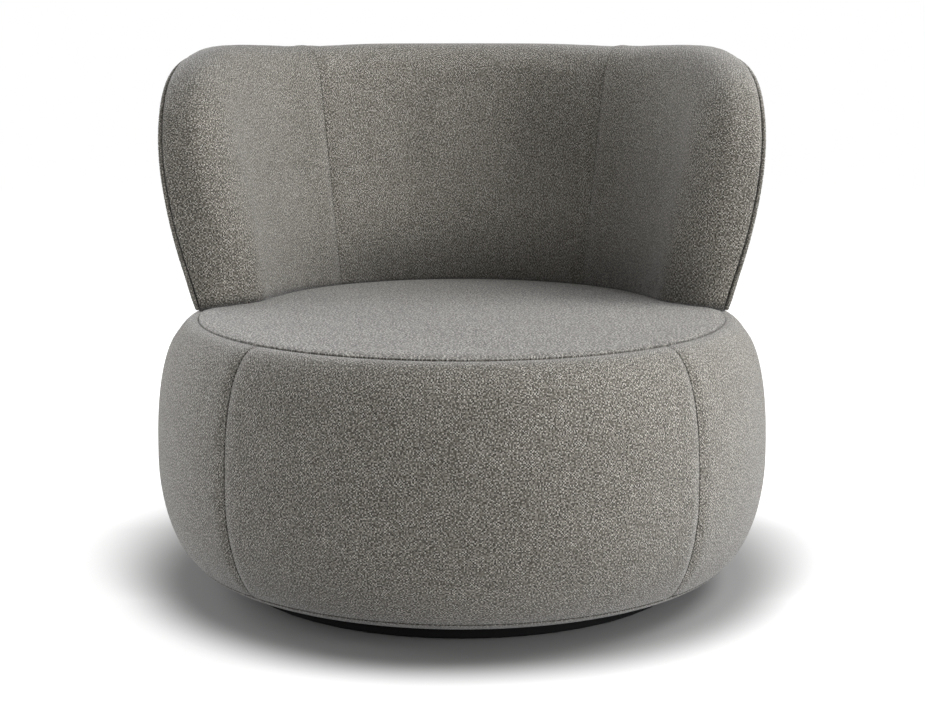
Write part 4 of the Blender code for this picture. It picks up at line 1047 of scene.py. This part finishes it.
def half_back(at, side, lines, start, step):
    points, pattern, run = lines(at, side)
    points, pattern, from_edge, from_foot = resampled(points, pattern, run, start, step)
    return mirrored(standing(points), side), pattern * np.array([side, 1.0]), from_edge, from_foot


def back_grid(side_name, lines, start, step):
    """The grid of a back panel: its places along the edge, its points and pattern, and the distances from
    its edge, foot and side seams."""
    if side_name == "centre":
        at, _, from_seam = edge_stations(0.0, SEAM_AT - HALF_GAP, False, True)
        halves = (half_back(at, side, lines, start, step) for side in (1, -1))
        grid = (np.concatenate([right[:0:-1], left], 0) for left, right in zip(*halves))
        return np.concatenate([at[:0:-1], at]), *grid, np.concatenate([from_seam[:0:-1], from_seam])
    at, from_seam, _ = edge_stations(SEAM_AT + HALF_GAP, EDGE_LENGTH, True, False)
    return at, *half_back(at, 1 if side_name == "left" else -1, lines, start, step), from_seam


def at_lengths(points):
    """Running length across a panel, measured along one of its inner lines."""
    middle = points[:, points.shape[1] // 3]
    return lengths_along(middle[None])[0]


def facing(points, outward, outwards):
    """Turns all normals the same way: out from the axis for the outside, towards it for the inside."""
    middle = tuple(n // 2 for n in points.shape[:2])
    radial = points[middle] * np.array([1.0, 1.0, 0.0])
    agrees = np.dot(outward[middle], radial) > 0
    return outward if agrees == outwards else -outward


def needs_flip(points, outward):
    i, j = points.shape[0] // 2, points.shape[1] // 2
    across = np.cross(points[i, j + 1] - points[i, j], points[i + 1, j] - points[i, j])
    return bool(np.dot(across, outward[i - 1, j - 1]) < 0)


def back_panel(name, side_name, lines, outwards, start, step, nodes):
    """One of the three panels of the back's inside or outside."""
    at, points, pattern, from_edge, from_foot, from_side = back_grid(side_name, lines, start, step)
    outward = facing(points, normals(points), outwards)
    length = at_lengths(points)
    deep = puckers(from_foot, from_side[:, None], 3.0, width=BACK_PUCKER_WIDTH)
    deep = deep + puckers(length[:, None], from_edge, 5.0, WELT_PUCKER_AT, BACK_PUCKER_WIDTH)
    deep = deep - swelling(points, outward, length, from_edge - from_edge[:, :1])
    height = points[..., 2] - seat_surface(np.hypot(points[..., 0], points[..., 1]))
    above = np.clip(height - FOOT_GAP, 0.0, None)
    foot_roll = FOOT_ROLL * np.clip((EDGE_LENGTH - at) / FOOT_ROLL_TAPER, FOOT_ROLL_LEAST, 1.0)[:, None]
    turned = np.maximum(rolled(from_side, BACK_SEAM_ROLL)[:, None], rolled(from_edge, WELT_ROLL))
    deep = deep + np.maximum(turned, rolled(above, foot_roll))
    # Painted shade in the side seams, beside the piping and in the crease at the back's foot
    shaded = np.maximum(near_seam(from_side), 0.0)[:, None] * BACK_CREASE
    shaded = np.maximum(shaded, np.maximum(near_seam(from_edge), bell(above, FOOT_CREASE)))
    if not outwards:
        # Low on the inside, painted shade where the seat shades the cloth, least on the sitter's right
        low = FOOT_SHADE * bell(above, FOOT_SHADE_HEIGHT) * smooth(from_edge / FOOT_SHADE_EDGE)
        shaded = np.maximum(shaded, low * smooth((points[..., 0] - FOOT_SHADE_START_X) / FOOT_SHADE_RUN))
    sides = (True, side_name == "centre", True, True)
    points = framed(points - outward * deep[..., None], outward, sides, SHORT_TUCK)
    flat, crease = framed_pattern(pattern, sides), framed_crease(shaded, sides)
    made = panel(name, points, flat, CLOTH, crease, flip=needs_flip(points, outward), thickness=THIN_COVER)
    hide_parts(*nodes)


def make_back():
    for side in ("left", "centre", "right"):
        inside = [f"inside_cover_{side}"] + (["back_foam"] if side == "centre" else [])
        outside = [f"outside_cover_{side}"]
        back_panel(f"inside_back_{side}", side, inner_lines, False, INSIDE_START, INSIDE_STEP, inside)
        back_panel(
            f"outside_back_{side}", side, outer_lines, True, OUTSIDE_START, OUTSIDE_STEP, outside,
        )


def make_piping():
    """A corded strip sewn between the inside and outside covers, wrinkled a little by its bends."""
    run = np.arange(0.0, EDGE_RUN[-1], WELT_STEP)
    at = np.interp(run, EDGE_RUN, EDGE_AT)
    tucked = WELT_END_TUCK * np.clip(1.0 - (run[-1] - run) / WELT_END_LENGTH, 0.0, 1.0) ** 2
    edge = edge_point(at) + edge_outward(at) * (WELT_PROUD - tucked)[:, None]
    right = standing(patch_to_space(edge, -WELT_PROUD))
    left = mirrored(right, -1)
    line = np.concatenate([left[:0:-1], right], 0)
    length = lengths_along(line[None])[0]
    forward = unit(np.gradient(line, axis=0))
    up = unit(line * np.array([1.0, 1.0, 0.0]))
    side = unit(np.cross(forward, up))
    up = np.cross(side, forward)
    turn = np.linspace(0.0, 2 * math.pi, WELT_SIDES + 1)
    wrinkles = ripple(length * WELT_BUMP_PITCH, 5.0)[:, None]
    twist = np.sin(turn[None, :] + length[:, None] * WELT_TWIST)
    thick = WELT_RADIUS * (1.0 + WELT_BUMP * wrinkles + WELT_BUMP * twist)
    thick[0] = thick[-1] = WELT_RADIUS * WELT_END_SHARE
    ring = np.cos(turn)[None, :, None] * side[:, None, :] + np.sin(turn)[None, :, None] * up[:, None, :]
    points = line[:, None, :] + ring * thick[..., None]
    pattern = np.stack(np.broadcast_arrays(turn[None, :] * WELT_RADIUS, length[:, None]), -1)
    made = panel("back_piping", points, pattern, PIPING_CLOTH, flip=True, thickness=0.0)
    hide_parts("back_welt")


make_seat_panel()
make_side_panels()
make_hem_strip()
make_back()
make_piping()


# Hard pieces keep their CAD shapes and get finishes

PLINTH_BLACK = plain_material(
    "black_laminate", (0.003, 0.003, 0.003), 0.55, shine=0.1, mottle=0.2, grain=260.0, bump=0.05,
)
FELT = plain_material("grey_felt", (0.060, 0.055, 0.050), 0.95, mottle=0.3, grain=900.0, bump=0.5)
STEEL = plain_material("zinc_steel", (0.560, 0.560, 0.540), 0.35, 1.0, mottle=0.12, grain=60.0, bump=0.05)
PLYWOOD = plain_material("birch_plywood", (0.560, 0.400, 0.240), 0.60, mottle=0.18, grain=140.0, bump=0.15)
WEBBING = plain_material("elastic_webbing", (0.100, 0.095, 0.090), 0.80, mottle=0.3, grain=500.0, bump=0.4)
DUST_CLOTH = plain_material("dust_cloth", (0.020, 0.020, 0.020), 0.95, mottle=0.3, grain=700.0, bump=0.4)

FINISHES = {
    "plinth": PLINTH_BLACK, "glide": FELT, "swivel": STEEL, "plate_screw": STEEL, "board_screw": STEEL,
    "ball_cage": STEEL, "shell_bracket": STEEL, "bottom_board": PLYWOOD, "deck_ring": PLYWOOD,
    "seat_strut": PLYWOOD, "front_wall": PLYWOOD, "back_shell": PLYWOOD, "cross_strap": WEBBING,
    "long_strap": WEBBING, "dust_cover": DUST_CLOTH,
}


def add_finishes():
    for node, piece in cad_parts.items():
        for start, material in FINISHES.items():
            if node.startswith(start):
                piece.data.materials.clear()
                piece.data.materials.append(material)


add_finishes()


# Studio

def add_floor():
    """A pale floor that keeps the chair's shadow and is white further out, where the camera looks at it."""
    mesh = bpy.data.meshes.new("floor")
    low, high = -FLOOR_REACH, FLOOR_REACH
    mesh.from_pydata([(low, low, 0), (high, low, 0), (high, high, 0), (low, high, 0)], [], [(0, 1, 2, 3)])
    made = bpy.data.objects.new("floor", mesh)
    bpy.context.scene.collection.objects.link(made)
    s = Shader(bpy.data.materials.new("studio_floor"))
    ray = s.add("LightPath", None, None, 0)
    here = s.add("TexCoord", None, None, 3)
    away = s.add("VectorMath", {"operation": "LENGTH"}, {0: here}, 1)
    backward = s.add("SeparateXYZ", None, {0: here}, 1)
    # Painted light: a glow seen only by the camera lifts the floor to white from FLOOR_NEAR outwards,
    # farther out behind the chair than in front, and so sets where the shadow fades
    far = s.add("MapRange", None, {
        "Value": backward, "From Min": FLOOR_FRONT_Y, "From Max": FLOOR_BACK_Y,
        "To Min": FLOOR_FAR, "To Max": FLOOR_FAR_BEHIND,
    })
    clear = s.add("MapRange", {"interpolation_type": "SMOOTHSTEP"}, {
        "Value": away, "From Min": FLOOR_NEAR, "From Max": far, "To Min": 0.0, "To Max": 1.0 - FLOOR_TAIL,
    })
    tail = s.add("MapRange", {"interpolation_type": "SMOOTHSTEP"}, {
        "Value": away, "From Min": FLOOR_FAR, "From Max": FLOOR_TAIL_END,
        "To Min": 0.0, "To Max": FLOOR_TAIL,
    })
    paint = s.add("BsdfDiffuse", None, {"Color": colour(FLOOR_TONE, FLOOR_TONE, FLOOR_TONE)})
    glow = s.add("Emission", None, {"Color": colour(1.0, 1.0, 1.0), "Strength": ray * (clear + tail)})
    both = s.add("AddShader", None, {0: paint, 1: glow})
    s.add("OutputMaterial", None, {"Surface": both})
    mesh.materials.append(s.owner)


def add_world():
    """White to the camera and in reflections, and a faint fill light otherwise."""
    world = bpy.data.worlds.new("studio")
    bpy.context.scene.world = world
    s = Shader(world)
    from_camera = s.add("LightPath", None, None, "Is Camera Ray")
    from_gloss = s.add("LightPath", None, None, "Is Glossy Ray")
    seen = from_camera.math("MAXIMUM", from_gloss)
    strength = s.add("MapRange", None, {"Value": seen, "To Min": WORLD_FILL, "To Max": 1.0})
    back = s.add("Background", None, {"Color": colour(1.0, 1.0, 1.0), "Strength": strength})
    s.add("OutputWorld", None, {"Surface": back})


def add_light(name, side, rise, size, power):
    """A square soft box that faces the chair."""
    light = bpy.data.lights.new(name, "AREA")
    light.size = size
    light.energy = power
    made = bpy.data.objects.new(name, light)
    bpy.context.scene.collection.objects.link(made)
    turn, lift = math.radians(side), math.radians(rise)
    away = Vector((math.sin(turn) * math.cos(lift), math.cos(turn) * math.cos(lift), math.sin(lift)))
    made.location = away * LIGHT_DISTANCE + Vector((0.0, 0.0, AIM_HEIGHT))
    made.rotation_euler = away.to_track_quat("Z", "Y").to_euler()


add_floor()
add_world()
for box, placing in SOFT_BOXES.items():
    add_light(box, *placing)
